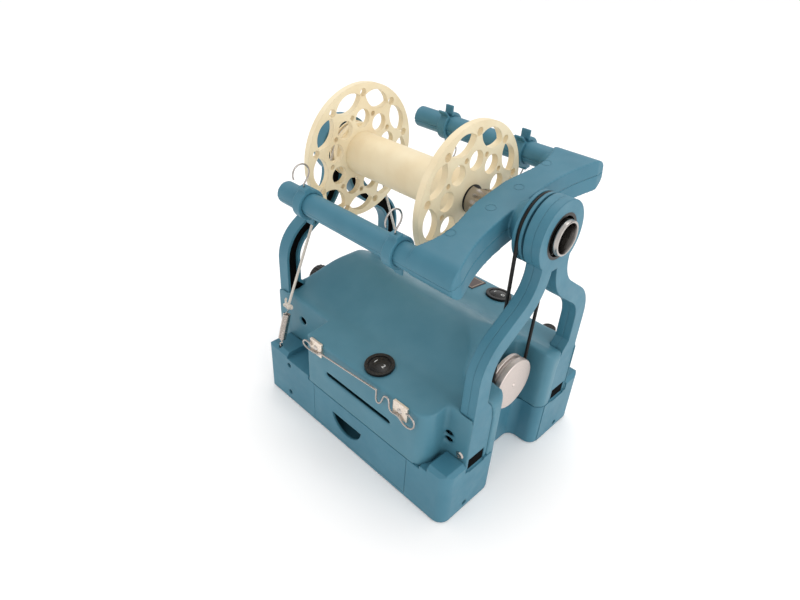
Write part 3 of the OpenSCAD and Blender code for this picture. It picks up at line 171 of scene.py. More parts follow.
def mouldedPlastic(name, radius, first, second, rough, grain=1.0, edge=None):
    made = Finish(name, Roughness=rough, Specular_IOR_Level=0.36)
    clouds = made.range(made.noise(38, 3), 0.35, 0.65)
    speckle = made.noise(2600, 2)
    colour = made.mix(clouds, first, second)
    if edge:                                   # rubbed edges are a little paler: partly wear, partly a painted highlight along the edges
        wearAndHighlightEdges = made.node("ShaderNodeNewGeometry", output="Pointiness")
        colour = made.mix(made.range(wearAndHighlightEdges, 0.53, 0.62, 0, 0.55), colour, edge)
    made.set("Base Color", colour)
    made.set("Roughness", made.range(made.noise(120, 3), 0.3, 0.7, rough - 0.05, rough + 0.06))
    height = speckle * 0.7 + made.noise(420, 2) * 0.3
    made.set("Normal", made.bump(height, 0.10 * grain, 0.00012, made.rounded(radius)))
    return made.material


def turnedMetal(name, colour, rough, middle, rings=1800, radius=0.0003, strength=0.12, bore=None):
    made = Finish(name, Metallic=1.0, Roughness=rough)
    away = made.reach(middle)
    lanes = made.node("ShaderNodeTexNoise", {"noise_dimensions": "1D"},
                      {"W": away * rings, "Scale": 1.0, "Detail": 3})
    soft = made.noise(260, 2)
    tone = made.mix(made.range(lanes * 0.9 + soft * 0.1, 0.35, 0.65), shade(colour, 0.82), colour)
    if bore:                                   # painted shade: the bore sees little light, so its colour is darkened
        tone = made.mix(made.range(away, bore[0], bore[1]), shade(colour, 0.22), tone)
    made.set("Base Color", tone)
    made.set("Roughness", made.range(lanes, 0.3, 0.7, rough - 0.06, rough + 0.08))
    made.set("Normal", made.bump(lanes, strength, 0.00006, made.rounded(radius)))
    return made.material


def drawnWire(name, colour, rough):
    made = Finish(name, Metallic=1.0, Roughness=rough)
    streak = made.noise(900, 3)
    made.set("Base Color", made.mix(made.range(streak, 0.35, 0.7), colour, shade(colour, 0.7)))
    made.set("Roughness", made.range(streak, 0.3, 0.7, rough - 0.05, rough + 0.08))
    made.set("Normal", made.bump(streak, 0.08, 0.00005))
    return made.material


def plainGrain(name, colour, rough, radius, scale=1500, strength=0.12, gloss=0.5, metal=0.0):
    made = Finish(name, Metallic=metal, Roughness=rough, Specular_IOR_Level=gloss)
    grain = made.noise(scale, 3)
    pale = tuple(min(1, part * 1.5 + 0.004) for part in colour[:3]) + (1,)
    made.set("Base Color", made.mix(made.range(grain, 0.35, 0.75), colour, pale))
    made.set("Roughness", made.range(grain, 0.3, 0.7, rough - 0.05, rough + 0.05))
    made.set("Normal", made.bump(grain, strength, 0.00008, made.rounded(radius)))
    return made.material


spindle = (0.0, spindleUp * mm)
motorLine = (0.0, motorUp * mm)
steelTone = (0.47, 0.44, 0.415, 1)
finishes = {
    "teal": mouldedPlastic("tealPlastic", 0.0011, plastic["teal"], plastic["tealDeep"], 0.46),
    "tealCover": mouldedPlastic("tealCoverPlastic", 0.0011, plastic["cover"], plastic["coverDeep"], 0.44,
                                edge=plastic["tealWorn"]),
    "tealSoft": mouldedPlastic("tealSoftPlastic", 0.0011, plastic["teal"], plastic["tealDeep"], 0.46,
                               edge=plastic["tealWorn"]),
    "cream": mouldedPlastic("creamPlastic", 0.0005, plastic["cream"], plastic["creamWarm"], 0.40, grain=0.7),
    "black": plainGrain("blackPlastic", (0.0065, 0.0055, 0.005, 1), 0.30, 0.0006, gloss=0.28),
    "rubber": plainGrain("blackRubber", (0.0045, 0.004, 0.0035, 1), 0.45, 0.0003, scale=2200,
                         strength=0.3, gloss=0.25),
    "shade": plainGrain("darkRecess", (0.0012, 0.0012, 0.0013, 1), 0.9, 0.0003, scale=900, gloss=0.05),
    # the steel carries painted shade inside the bore, within about 10.1 mm of the spindle
    "steel": turnedMetal("turnedSteel", steelTone, 0.22, spindle, bore=(0.0101, 0.0107)),
    "races": turnedMetal("darkRaces", (0.045, 0.043, 0.041, 1), 0.34, spindle, rings=900),
    "pulley": turnedMetal("turnedPulley", (0.74, 0.655, 0.61, 1), 0.50, motorLine, rings=2600, strength=0.1),
    "holder": plainGrain("satinHolder", (0.66, 0.58, 0.50, 1), 0.36, 0.0004, scale=1200, metal=1.0),
    "wire": drawnWire("drawnWire", (0.50, 0.46, 0.43, 1), 0.20),
    "bright": drawnWire("brightNickel", (0.66, 0.60, 0.55, 1), 0.20),
    "print": plainGrain("whitePrint", (0.70, 0.69, 0.66, 1), 0.5, 0.0001, scale=2400, strength=0.05),
    "zinc": plainGrain("zincPlate", (0.55, 0.53, 0.50, 1), 0.34, 0.0006, scale=700, metal=1.0),
    "board": plainGrain("boardLacquer", (0.02, 0.12, 0.05, 1), 0.35, 0.0003, scale=600),
}
slotFinish = {"teal_plastic": "teal", "cream_plastic": "cream", "black_plastic": "black",
              "black_rubber": "rubber", "steel": "steel", "bright_steel": "bright",
              "pulley_metal": "pulley", "zinc_plate": "zinc",
              "cotton_cord": "rubber", "board_green": "board", "label_dark": "label"}


def cordFinish():
    made = Finish("cottonCord", Roughness=0.85, Sheen_Weight=0.35)
    strands = {"turn": 6.2832, "count": 2, "pitch": 2600,
               "dark": (0.42, 0.36, 0.30, 1), "pale": (0.80, 0.74, 0.66, 1)}
    skin = made.node("ShaderNodeUVMap")
    u, v = made.axis(skin, 0), made.axis(skin, 1)
    left = (u * strands["turn"] * strands["count"] + v * strands["pitch"]).math("SINE")
    right = (u * strands["turn"] * strands["count"] - v * strands["pitch"]).math("SINE")
    weave = left.math("MAXIMUM", right) * 0.5 + 0.5
    fuzz = made.noise(3200, 3)
    share = made.range(weave * 0.7 + fuzz * 0.3, 0.2, 0.9)
    made.set("Base Color", made.mix(share, strands["dark"], strands["pale"]))
    made.set("Normal", made.bump(weave * 0.75 + fuzz * 0.25, 0.6, 0.0003))
    return made.material


finishes["cord"] = cordFinish()


def labelFinish(middle, half):                 # dark film with a thin pale border, otherwise bare
    made = Finish("labelFilm", Roughness=0.42)
    spot = made.place()
    across = (made.axis(spot, 0) - middle[0]).math("ABSOLUTE") - half[0]
    along = (made.axis(spot, 1) - middle[1]).math("ABSOLUTE") - half[1]
    inward = across.math("MAXIMUM", along) * -1
    line = made.range(inward, 0.0012, 0.0013) * made.range(inward, 0.0019, 0.0018)
    grain = made.noise(900, 3)
    dark = made.mix(made.range(grain, 0.35, 0.7), (0.050, 0.030, 0.026, 1), (0.078, 0.048, 0.040, 1))
    made.set("Base Color", made.mix(line * 0.8, dark, (0.50, 0.40, 0.30, 1)))
    made.set("Roughness", made.range(grain, 0.3, 0.7, 0.36, 0.48))
    return made.material


labelPlate = {"middle": (-0.0235, 0.0716), "half": (0.0225, 0.0104)}
finishes["label"] = labelFinish(labelPlate["middle"], labelPlate["half"])
print("finishes made:", len(finishes))


def wear(piece, finish, body, slot, *replaced):  # finish, body, slot and the nodes it stands for
    piece.data.materials.clear()
    piece.data.materials.append(finishes[finish])
    if replaced:
        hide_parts(*replaced)
    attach(piece, body)
    return piece


# Carried-over CAD nodes keep their shape and get a finish
for node, piece in cadNodes.items():
    kind = slotFinish[slotOf[node]]
    if "bearing" in node:
        kind = "races"
    if node == "threader_holders":
        kind = "holder"
    for place in range(max(1, len(piece.material_slots))):
        if piece.material_slots:
            piece.material_slots[place].material = finishes[kind]
        else:
            piece.data.materials.append(finishes[kind])
print("CAD nodes finished")


def mergedCopy(node, name, angle=32, dissolve=0.4):  # a merged copy with smooth round faces
    copy = bpy.data.objects.new(name, cadNodes[node].data.copy())
    bpy.context.scene.collection.objects.link(copy)
    choose(copy)
    bpy.ops.object.mode_set(mode="EDIT")
    bpy.ops.mesh.select_all(action="SELECT")
    bpy.ops.mesh.remove_doubles(threshold=0.000002)
    if dissolve:
        bpy.ops.mesh.dissolve_limited(angle_limit=math.radians(dissolve))
    bpy.ops.mesh.customdata_custom_splitnormals_clear()
    bpy.ops.object.mode_set(mode="OBJECT")
    bpy.ops.object.shade_smooth_by_angle(angle=math.radians(angle))
    return copy


def applied(piece, kind, **settings):
    choose(piece)
    bpy.ops.object.modifier_add(type=kind)
    made = piece.modifiers[-1]
    for key, value in settings.items():
        setattr(made, key, value)
    bpy.ops.object.modifier_apply(modifier=made.name)
    return piece


def evenFlats(piece):                          # flat faces stay flat beside round ones
    return applied(piece, "WEIGHTED_NORMAL", mode="FACE_AREA", weight=100, keep_sharp=True)


def camel(words):
    first, *rest = words.split("_")
    return first + "".join(part.capitalize() for part in rest)


# Soft edges: an even skin over the merged copy, then a little smoothing away from its parting plane
def softened(node, name, skin, rounds, parting=None, most=150000):
    copy = mergedCopy(node, name, dissolve=0)
    applied(copy, "REMESH", mode="VOXEL", voxel_size=skin, adaptivity=0)
    soft = copy.vertex_groups.new(name="soft")
    if parting:
        middle, normal, reach = parting
        away = [point.index for point in copy.data.vertices if abs((point.co - middle).dot(normal)) > reach]
    else:
        away = list(range(len(copy.data.vertices)))
    soft.add(away, 1.0, "REPLACE")
    applied(copy, "SMOOTH", factor=0.5, iterations=rounds, vertex_group="soft")
    triangles = sum(len(face.vertices) - 2 for face in copy.data.polygons)
    if triangles > most:
        applied(copy, "DECIMATE", ratio=most / triangles)
    choose(copy)
    bpy.ops.object.shade_smooth_by_angle(angle=math.radians(60))
    print(name, "triangles:", triangles)
    return copy


# Each soft piece: voxel size, rounds of smoothing and parting plane (point, normal, stretch kept sharp)
coverUp = 41.8
upright = Vector((0, 0, 1))
coverParting = (upright * coverUp * mm, upright, 0.0025)
flyerParting = (upright * spindleUp * mm, Matrix.Rotation(flyerTilt, 3, "X") @ upright, 0.0013)
softSkins = {"top_cover": (0.0012, 9, coverParting), "flyer_upper_shell": (0.0007, 5, flyerParting),
             "flyer_lower_shell": (0.0007, 5, flyerParting)}
for end in ("near_rear", "near_front", "far_rear", "far_front"):
    softSkins["clip_" + end] = (0.0004, 4)

# Moulded pieces: merged, smooth over their round faces
moulded = ["base_housing", "top_cover", "front_upright_face", "front_upright_back", "rear_upright", "drawer",
           "flyer_upper_shell", "flyer_lower_shell", "drive_whorl", "clip_near_rear", "clip_near_front",
           "clip_far_rear", "clip_far_front", "bobbin_barrel", "bobbin_front_flange", "bobbin_rear_flange"]
for node in moulded:
    if node in softSkins:
        piece = softened(node, camel(node) + "Moulding", *softSkins[node])
        finish = "tealCover" if node == "top_cover" else "tealSoft"
    else:
        piece = evenFlats(mergedCopy(node, camel(node) + "Moulding"))
        finish = slotFinish[slotOf[node]]
    wear(piece, finish, bodyOf[node], slotOf[node], node)
for node in ("foot_screws", "threader_screws", "threader_holders", "direction_switch_body",
             "power_switch_body", "direction_rocker", "power_rocker", "dc_jack", "motor"):
    piece = mergedCopy(node, camel(node) + "Piece", dissolve=0)
    finish = "holder" if node == "threader_holders" else slotFinish[slotOf[node]]
    wear(piece, finish, bodyOf[node], slotOf[node], node)
print("mouldings made:", len(moulded))


# Wires, cords and belt: smooth routes in millimetres, laid as tubes
def smoothRoute(points, steps=6, closed=False):
    count, route = len(points), []
    for i in range(count if closed else count - 1):
        if closed:
            four = [Vector(points[(i + k) % count]) for k in (-1, 0, 1, 2)]
        else:
            four = [Vector(points[min(max(i + k, 0), count - 1)]) for k in (-1, 0, 1, 2)]
        for j in range(steps):
            t = j / steps
            a, b, c, d = four
            route.append(0.5 * ((2 * b) + (c - a) * t + (2 * a - 5 * b + 4 * c - d) * t * t
                                + (3 * b - a - 3 * c + d) * t ** 3))
    return route if closed else route + [Vector(points[-1])]


def laidTube(name, route, radius, rings=3, closed=False):  # a bevelled curve made into a mesh
    deselect()
    bpy.ops.curve.primitive_nurbs_path_add()
    tube = bpy.context.object
    tube.name = name
    tube.data.splines.clear()
    line = tube.data.splines.new("POLY")
    line.points.add(len(route) - 1)
    for point, place in zip(line.points, route):
        point.co = (*(Vector(place) * mm), 1)
    line.use_cyclic_u = closed
    tube.data.dimensions = "3D"
    tube.data.twist_mode = "MINIMUM"
    tube.data.bevel_depth = radius * mm
    tube.data.bevel_resolution = rings
    tube.data.use_fill_caps = not closed
    tube.matrix_world = Matrix.Identity(4)
    choose(tube)
    bpy.ops.object.convert(target="MESH")
    bpy.ops.object.mode_set(mode="EDIT")
    bpy.ops.mesh.select_all(action="SELECT")
    bpy.ops.mesh.remove_doubles(threshold=0.000001)
    bpy.ops.mesh.normals_make_consistent(inside=False)
    bpy.ops.object.mode_set(mode="OBJECT")
    bpy.ops.object.shade_smooth_by_angle(angle=math.radians(50))
    return tube


def joined(name, pieces):
    deselect()
    for piece in pieces:
        piece.select_set(True)
    bpy.context.view_layer.objects.active = pieces[0]
    bpy.ops.object.join()
    pieces[0].name = name
    return pieces[0]


def onFlyer(point):                            # a point of the level flyer, tilted as it rests
    x, y, z = point
    return Vector((x, y * math.cos(flyerTilt) - z * math.sin(flyerTilt),
                   spindleUp + y * math.sin(flyerTilt) + z * math.cos(flyerTilt)))


# Brake cord over the bobbin's groove, with its knot and spring
brake = {"x": -94, "groove": 20.5, "cord": 1.15, "knot": (-93.5, -73.5, 87),
         "end": [(-94, 61.8, 95), (-94, 59.4, 88), (-96, 50, 82.5), (-98, 34, 79), (-108, 8, 79),
                 (-110.6, -8.4, 79.4)],
         "springTop": (-93.2, -75.5, 80), "springFoot": (-92.4, -82.8, 57.5), "hookFoot": (-92, -84.6, 53.4),
         "coils": 23, "springRadius": 3.0, "springWire": 0.52}


def tangentTurn(place):
    away = (place[1], place[2] - spindleUp)
    return math.atan2(away[1], away[0]), math.acos(brake["groove"] / math.hypot(*away))


nearTurn, farTurn = tangentTurn(brake["knot"]), tangentTurn(brake["end"][0])
startTurn = nearTurn[0] - nearTurn[1] + 2 * math.pi
endTurn = farTurn[0] + farTurn[1]
wrap = []
for i in range(33):
    turn = startTurn + (endTurn - startTurn) * i / 32
    wrap.append((brake["x"], brake["groove"] * math.cos(turn), spindleUp + brake["groove"] * math.sin(turn)))
straight = [Vector(brake["knot"]).lerp(Vector(wrap[0]), t / 12) for t in range(12)]
down = [Vector(wrap[-1]).lerp(Vector(brake["end"][0]), t / 12) for t in range(1, 12)]
cordRoute = straight + wrap + down + smoothRoute(brake["end"], 3)
cord = laidTube("brakeCordStrand", cordRoute, brake["cord"], 3)


def knotLoop(middle, size, lean):              # one small trefoil stands for the drawn-up knot
    route = []
    for i in range(48):
        t = 2 * math.pi * i / 48
        loop = Vector((math.sin(t) + 2 * math.sin(2 * t), -math.sin(3 * t) * 0.9,
                       math.cos(t) - 2 * math.cos(2 * t)))
        route.append(Vector(middle) + Matrix.Rotation(lean, 3, "Y") @ (loop * size))
    return route


knot = Vector(brake["knot"])
knots = [laidTube("brakeKnot", knotLoop(knot, 0.78, 0.5), brake["cord"] * 0.95, 3, closed=True)]
knotPaths = {"loopLeft": [(0, 0, 0), (-2.4, -0.8, 1.2), (-4.2, -1.2, 0.4), (-4.0, -0.8, -1.2),
                          (-2.0, -0.2, -1.0), (0, 0, 0)],
             "loopRight": [(0, 0, 0), (1.8, 0.9, 1.3), (3.4, 1.4, 0.8), (3.2, 1.0, -1.4),
                           (1.2, 0.2, -1.2), (0, 0, 0)],
             "tail": [(-0.4, -0.3, 0.4), (-1.6, -0.8, 3.0), (-2.2, -0.6, 5.6), (-2.0, -0.2, 7.2)]}
for name, path in knotPaths.items():
    knots.append(laidTube(name, smoothRoute([knot + Vector(p) for p in path], 4), brake["cord"] * 0.86, 3))
cord = joined("brakeCordStrand", [cord] + knots)
wear(cord, "cord", "stand", "cotton_cord", "brake_cord")

top, foot = Vector(brake["springTop"]), Vector(brake["springFoot"])
axis = (foot - top).normalized()
sideways = axis.cross(Vector((1, 0, 0))).normalized()
outward = axis.cross(sideways)
coil, coilSteps = [], brake["coils"] * 14
for i in range(coilSteps + 1):
    turn = 2 * math.pi * i / 14
    reach = brake["springRadius"] * (0.55 if i in (0, coilSteps) else 1)
    coil.append(top + axis * (foot - top).length * i / coilSteps
                + reach * (math.cos(turn) * sideways + math.sin(turn) * outward))
hookFoot = Vector(brake["hookFoot"])
upper = smoothRoute([knot + Vector((0, -1.4, -1.6)), knot + Vector((-1.8, 0.4, -2.6)),
                     knot + Vector((-1.2, 0.6, -5)), top - axis * 1.4 + sideways * 1.0, coil[0]], 5)
lower = smoothRoute([coil[-1], foot + axis * 1.5 + sideways * 0.6, foot + axis * 2.8 - outward * 1.6,
                     hookFoot + Vector((-1.2, 0.2, -0.6)), hookFoot + Vector((0, 0, -5))], 5)
spring = laidTube("brakeSpringCoil", upper[:-1] + coil[1:-1] + lower[1:], brake["springWire"], 2)
wear(spring, "bright", "stand", "bright_steel", "brake_spring")
print("brake made")

# Drive belt round the pulley and the whorl
beltLine = {"x": 86, "radius": 1.3, "pulleyRim": 21.5, "whorlRim": 24, "groove": 2.7, "seat": 1.38}
pulleyLine = beltLine["pulleyRim"] - beltLine["groove"] + beltLine["seat"]
whorlLine = beltLine["whorlRim"] - beltLine["groove"] + beltLine["seat"]
lean = math.asin((whorlLine - pulleyLine) / (spindleUp - motorUp))


def beltArc(begin, stretch, radius, up):       # the belt's course round one wheel
    turns = [begin + stretch * i / 48 for i in range(49)]
    return [Vector((beltLine["x"], radius * math.cos(turn), up + radius * math.sin(turn))) for turn in turns]


def beltRun(begin, end):                       # the straight run between the wheels
    return [begin.lerp(end, t / 14) for t in range(1, 14)]


loop = beltArc(math.pi - lean, math.pi + 2 * lean, pulleyLine, motorUp)
rise = beltArc(-lean, math.pi + 2 * lean, whorlLine, spindleUp)
loop += beltRun(loop[-1], rise[0]) + rise + beltRun(rise[-1], loop[0])
belt = laidTube("driveBeltLoop", loop, beltLine["radius"], 4, closed=True)
wear(belt, "rubber", "stand", "black_rubber", "drive_belt")

# Threading hook of bent wire, beside the holders
threader = {"side": -88, "holder": 1.8, "wire": 0.75, "air": 0.3,
            "route": [(-40.4, 84.6), (-42, 86.6), (-46, 86.8), (-49, 85), (-49.6, 82.8), (-48, 81),
                      (-44, 80.2), (-36, 80.6), (-30, 82.2), (-26, 84.4), (10, 87.6), (33, 89.6),
                      (35.4, 88.6), (35.4, 82), (36.6, 79.4), (38.6, 79.4), (40.6, 81.8), (42, 85.6),
                      (43.4, 89), (45.4, 90.2), (47.6, 89.6), (48.6, 87), (49, 82.6), (51.4, 80.2),
                      (58, 80.6), (64, 77), (70, 77.4), (73.2, 81.4), (72.8, 86), (69, 88.6), (65.4, 88.4)]}
threaderSide = threader["side"] - threader["holder"] - threader["wire"] - threader["air"]
hookPath = smoothRoute([(x, threaderSide, z) for x, z in threader["route"]], 4)
threadingWire = laidTube("threadingHookWire", hookPath, threader["wire"], 3)
wear(threadingWire, "wire", "threading_hook", "bright_steel", "threading_hook")

# Wire hooks of the four clips
hooks = {"rim": 11.6, "boss": 3.4, "lift": 9.5, "loop": 7.0, "wire": 0.62, "start": -52, "end": 192,
         "arm": 74, "places": {"near_rear": (-61.5, -1), "near_front": (31, -1),
                               "far_rear": (-55, 1), "far_front": (21, 1)}}
for end, (x, side) in hooks["places"].items():
    crown = hooks["rim"] + hooks["boss"]
    middle = crown + hooks["lift"]
    path = [(0, hooks["rim"] + 0.3), (0, crown), (0.8, crown + 1.2)]
    for i in range(20):
        turn = math.radians(hooks["start"] + (hooks["end"] - hooks["start"]) * i / 19)
        path.append((hooks["loop"] * math.cos(turn), middle + hooks["loop"] * math.sin(turn)))
    flip = -1 if side > 0 else 1
    bent = smoothRoute([(across, up, 0) for across, up in path], 3)
    route = [onFlyer((x, side * hooks["arm"] + flip * place[0], flip * place[1])) for place in bent]
    wire = laidTube(camel("hook_" + end) + "Wire", route, hooks["wire"], 3)
    wear(wire, "wire", "clip_" + end, "bright_steel", "clip_wire_" + end)
print("wires made")


# Turned pieces: a profile of (along, radius) spun round a line that runs along X
def turned(name, profile, middle, steps=96, angle=32, flutes=None):
    deselect()
    bpy.ops.mesh.primitive_circle_add(vertices=len(profile), radius=0.01, fill_type="NOTHING")
    piece = bpy.context.object
    piece.name = name
    for point, (along, radius) in zip(piece.data.vertices, profile):
        point.co = (along * mm, 0, radius * mm)
    bpy.ops.object.mode_set(mode="EDIT")
    bpy.ops.mesh.select_all(action="SELECT")
    bpy.ops.mesh.spin(steps=steps, angle=2 * math.pi, center=(0, 0, 0), axis=(1, 0, 0))
    bpy.ops.mesh.select_all(action="SELECT")
    bpy.ops.mesh.remove_doubles(threshold=0.000002)
    bpy.ops.mesh.normals_make_consistent(inside=False)
    bpy.ops.object.mode_set(mode="OBJECT")
    if flutes:                                 # count, depth and the stretch along X that is fluted
        count, depth, low, high = flutes
        for point in piece.data.vertices:
            if low * mm < point.co.x < high * mm:
                wave = 0.5 + 0.5 * math.cos(count * math.atan2(point.co.z, point.co.y))
                point.co.yz = point.co.yz * (1 - depth * wave)
    for point in piece.data.vertices:
        point.co.y += middle[0] * mm
        point.co.z += middle[1] * mm
    piece.matrix_world = Matrix.Identity(4)
    choose(piece)
    bpy.ops.object.shade_smooth_by_angle(angle=math.radians(angle))
    return piece


# Orifice tube: polished lip, bore, blind seat and side scoop
tube = {"rear": 31.6, "outer": 10.6, "neck": 9.98, "bore": 8.2}
lipProfile = [(tube["rear"] + 0.5, tube["outer"]), (91.8, tube["outer"]), (92.2, tube["neck"]),
              (103.7, tube["neck"]), (103.8, 11.3), (104.0, 11.9), (104.4, 12.3), (105.0, 12.4),
              (105.9, 12.3), (106.3, 12.05), (107.2, 12.0), (107.6, 11.85), (107.8, 11.5),
              (107.8, 10.9), (107.6, 10.5), (107.0, 10.3), (104.5, 9.5), (101.0, 8.6),
              (98.5, tube["bore"]), (49.5, tube["bore"]), (47, 5.6), (47, 0), (43.6, 0), (43.6, 3.98),
              (tube["rear"] + 0.4, 3.98), (tube["rear"], 4.4), (tube["rear"], tube["outer"] - 0.5)]
orifice = turned("orificeTubeTurning", lipProfile, (0, spindleUp))
scoop = {"radius": 7.0, "length": 22, "rise": 18, "along": 41, "roll": -40, "lean": -35}
deselect()
bpy.ops.mesh.primitive_cylinder_add(vertices=64, radius=scoop["radius"] * mm, depth=scoop["length"] * mm,
                                    location=(0, 0, scoop["rise"] * mm))
cutter = bpy.context.object
bpy.ops.object.transform_apply(location=True, rotation=True, scale=True)
tilted = Matrix.Rotation(flyerTilt, 4, "X") @ Matrix.Translation((scoop["along"] * mm, 0, 0))
rolled = Matrix.Rotation(math.radians(scoop["roll"]), 4, "X")
leaned = Matrix.Rotation(math.radians(scoop["lean"]), 4, "Y")
cutter.matrix_world = Matrix.Translation((0, 0, spindleUp * mm)) @ (tilted @ rolled @ leaned)
applied(orifice, "BOOLEAN", operation="DIFFERENCE", object=cutter, solver="EXACT")
bpy.data.objects.remove(cutter)
choose(orifice)
bpy.ops.object.shade_smooth_by_angle(angle=math.radians(32))
wear(orifice, "steel", "flyer", "steel", "orifice_tube")

# Motor pulley with its groove
wheel = [(77, 2.5), (77, 6.7), (77.3, 7), (81.5, 7), (81.5, 21.0), (82.0, 21.5), (84.2, 21.5), (84.6, 21.1)]
for i in range(9):
    turn = math.pi * i / 8
    wheel.append((beltLine["x"] - beltLine["seat"] * math.cos(turn),
                  pulleyLine - beltLine["seat"] * math.sin(turn)))
wheel += [(87.4, 21.1), (87.8, 21.5), (91.7, 21.5), (92.2, 21.0), (92.2, 1.8), (91.0, 0.5), (91.0, 0),
          (90.2, 0), (90.2, 2.5)]
pulley = turned("motorPulleyTurning", wheel, (0, motorUp))
wear(pulley, "pulley", "motor_drive", "pulley_metal", "motor_pulley")

# Fluted knobs: the brake knob at the rear and the speed knob on its shelf
brakeProfile = [(-128.3, 0), (-128.3, 7.2), (-127.9, 7.6), (-127.9, 8.9), (-127.5, 10.1),
                (-126.7, 10.9), (-118.2, 11), (-117.5, 10.5), (-117.3, 9.8), (-117.3, 3.5),
                (-114.2, 3.5), (-114.1, 0)]
brakeLine = (-15, 80)
brakeKnob = turned("brakeKnobTurning", brakeProfile, brakeLine, steps=144, flutes=(18, 0.08, -127.2, -118))
wear(brakeKnob, "black", "brake_knob", "black_plastic", "brake_knob")
speed = {"x": 72, "y": 78, "foot": 58.8, "low": 67.5, "high": 84, "stem": 3, "radius": 7.5}
speedProfile = [(speed["low"], speed["stem"]), (speed["low"], speed["radius"] - 0.4),
                (speed["low"] + 0.4, speed["radius"]), (speed["low"] + 2.6, speed["radius"]),
                (speed["low"] + 3.2, 6.8), (speed["high"] - 1.4, 6.2), (speed["high"] - 0.5, 5.9),
                (speed["high"], 5.2), (speed["high"], 4.4), (speed["high"] - 0.3, 4.1),
                (speed["high"] - 0.3, 0), (speed["foot"], 0), (speed["foot"], speed["stem"])]
speedKnob = turned("speedKnobTurning", speedProfile, (0, 0), steps=144,
                   flutes=(24, 0.07, speed["low"] + 3, speed["high"] - 1))
choose(speedKnob)
speedKnob.rotation_euler = (0, -math.pi / 2, 0)
speedKnob.location = (speed["x"] * mm, speed["y"] * mm, 0)
bpy.ops.object.transform_apply(location=True, rotation=True, scale=True)
wear(speedKnob, "black", "speed_knob", "black_plastic", "speed_knob")


def settled(piece, name, place):               # a finished mesh takes its name and its place
    piece.name = name
    choose(piece)
    bpy.ops.object.shade_smooth_by_angle(angle=math.radians(40))
    piece.matrix_world = place
    bpy.ops.object.transform_apply(location=True, rotation=True, scale=True)
    return piece


def block(name, size, place, round):           # a cube shaped in edit mode, with rounded edges
    deselect()
    bpy.ops.mesh.primitive_cube_add(size=1)
    piece = bpy.context.object
    bpy.ops.object.mode_set(mode="EDIT")
    bpy.ops.mesh.select_all(action="SELECT")
    bpy.ops.transform.resize(value=tuple(side * mm for side in size), center_override=(0, 0, 0))
    bpy.ops.mesh.bevel(offset=round * mm, segments=3, affect="EDGES")
    bpy.ops.object.mode_set(mode="OBJECT")
    return settled(piece, name, place)


def lettered(name, word, size, thick, place):  # a printed mark, a little proud of its face
    deselect()
    bpy.ops.object.text_add()
    piece = bpy.context.object
    piece.data.body = word
    piece.data.size = size * mm
    piece.data.align_x, piece.data.align_y = "CENTER", "CENTER"
    piece.data.extrude = thick * mm
    choose(piece)
    bpy.ops.object.convert(target="MESH")
    return settled(bpy.context.object, name, place)


# Generic marks on the rockers: plain numbers on one, on and off on the other
shelf = {"up": 90.5, "rise": 3.5, "run": 28, "inward": 15}
shelfTilt = math.atan(shelf["rise"] / shelf["run"])
marks = {"x": 20, "y": 73, "z": shelf["up"] + shelf["rise"] * shelf["inward"] / shelf["run"],
         "crown": 2.4, "round": 40, "proud": 0.05, "reach": 4.2, "size": 4.6, "thick": 0.06}
markDrop = marks["crown"] - marks["reach"] ** 2 / (2 * marks["round"]) + marks["proud"]
for side, body, words in ((-1, "direction_rocker", "12"), (1, "power_rocker", "IO")):
    seat = Matrix.Translation((marks["x"] * mm, side * marks["y"] * mm, marks["z"] * mm)) \
        @ Matrix.Rotation(-side * shelfTilt, 4, "X")
    for end, word in zip((-1, 1), words):
        spot = seat @ Matrix.Translation((end * marks["reach"] * mm, 0, markDrop * mm)) \
            @ Matrix.Rotation(end * marks["reach"] / marks["round"], 4, "Y")
        mark = lettered(camel(body) + "Mark" + word, word, marks["size"], marks["thick"], spot)
        wear(mark, "print", body, "cream_plastic")

# Witness rings of the moulding on the flyer
rings = {"radius": 3.4, "wire": 0.14, "rise": 12, "places": ((59, -15), (56, -51), (59, 15), (56, 51))}
for number, (x, y) in enumerate(rings["places"]):
    deselect()
    bpy.ops.mesh.primitive_torus_add(major_radius=rings["radius"] * mm, minor_radius=rings["wire"] * mm,
                                     major_segments=64, minor_segments=8)
    spot = Matrix.Translation(onFlyer((x, y, rings["rise"])) * mm) @ Matrix.Rotation(flyerTilt, 4, "X")
    ring = settled(bpy.context.object, "witnessRing" + str(number), spot)
    wear(ring, "teal", "flyer", "teal_plastic")

# Latch buttons behind the windows, in the near-black recess finish: painted shade in the windows
latch = {"size": (3.0, 17.4, 10.2), "x": 101.6, "y": 54, "z": 45.9, "round": 0.3}
for side, name in ((-1, "latchButtonNear"), (1, "latchButtonFar")):
    spot = Matrix.Translation((latch["x"] * mm, side * latch["y"] * mm, latch["z"] * mm))
    button = block(name, latch["size"], spot, latch["round"])
    wear(button, "shade", "stand", "black_plastic")

# Painted shade: a near-black sheet on the floor of the rear upright's channel stands in for the channel's
# deep shadow
channelShade = bpy.data.objects.new("rearChannelLining", cadNodes["rear_upright"].data.copy())
bpy.context.scene.collection.objects.link(channelShade)
choose(channelShade)
bpy.ops.object.mode_set(mode="EDIT")
bpy.ops.mesh.select_all(action="SELECT")
bpy.ops.mesh.remove_doubles(threshold=0.000002)
bpy.ops.mesh.customdata_custom_splitnormals_clear()
bpy.ops.mesh.select_mode(type="FACE")
bpy.ops.mesh.select_all(action="DESELECT")
bpy.ops.object.mode_set(mode="OBJECT")
channelShadeEnds = {"top": 0.193, "bottom": 0.100, "inside": 0.036, "floor": (-0.1140, -0.1126), "fill": 6.6}
for face in channelShade.data.polygons:              # everything but the channel's floor goes
    onFloor = channelShadeEnds["floor"][0] < face.center.x < channelShadeEnds["floor"][1]
    face.select = not (face.normal.x > 0.9 and onFloor)
bpy.ops.object.mode_set(mode="EDIT")
bpy.ops.mesh.delete(type="FACE")
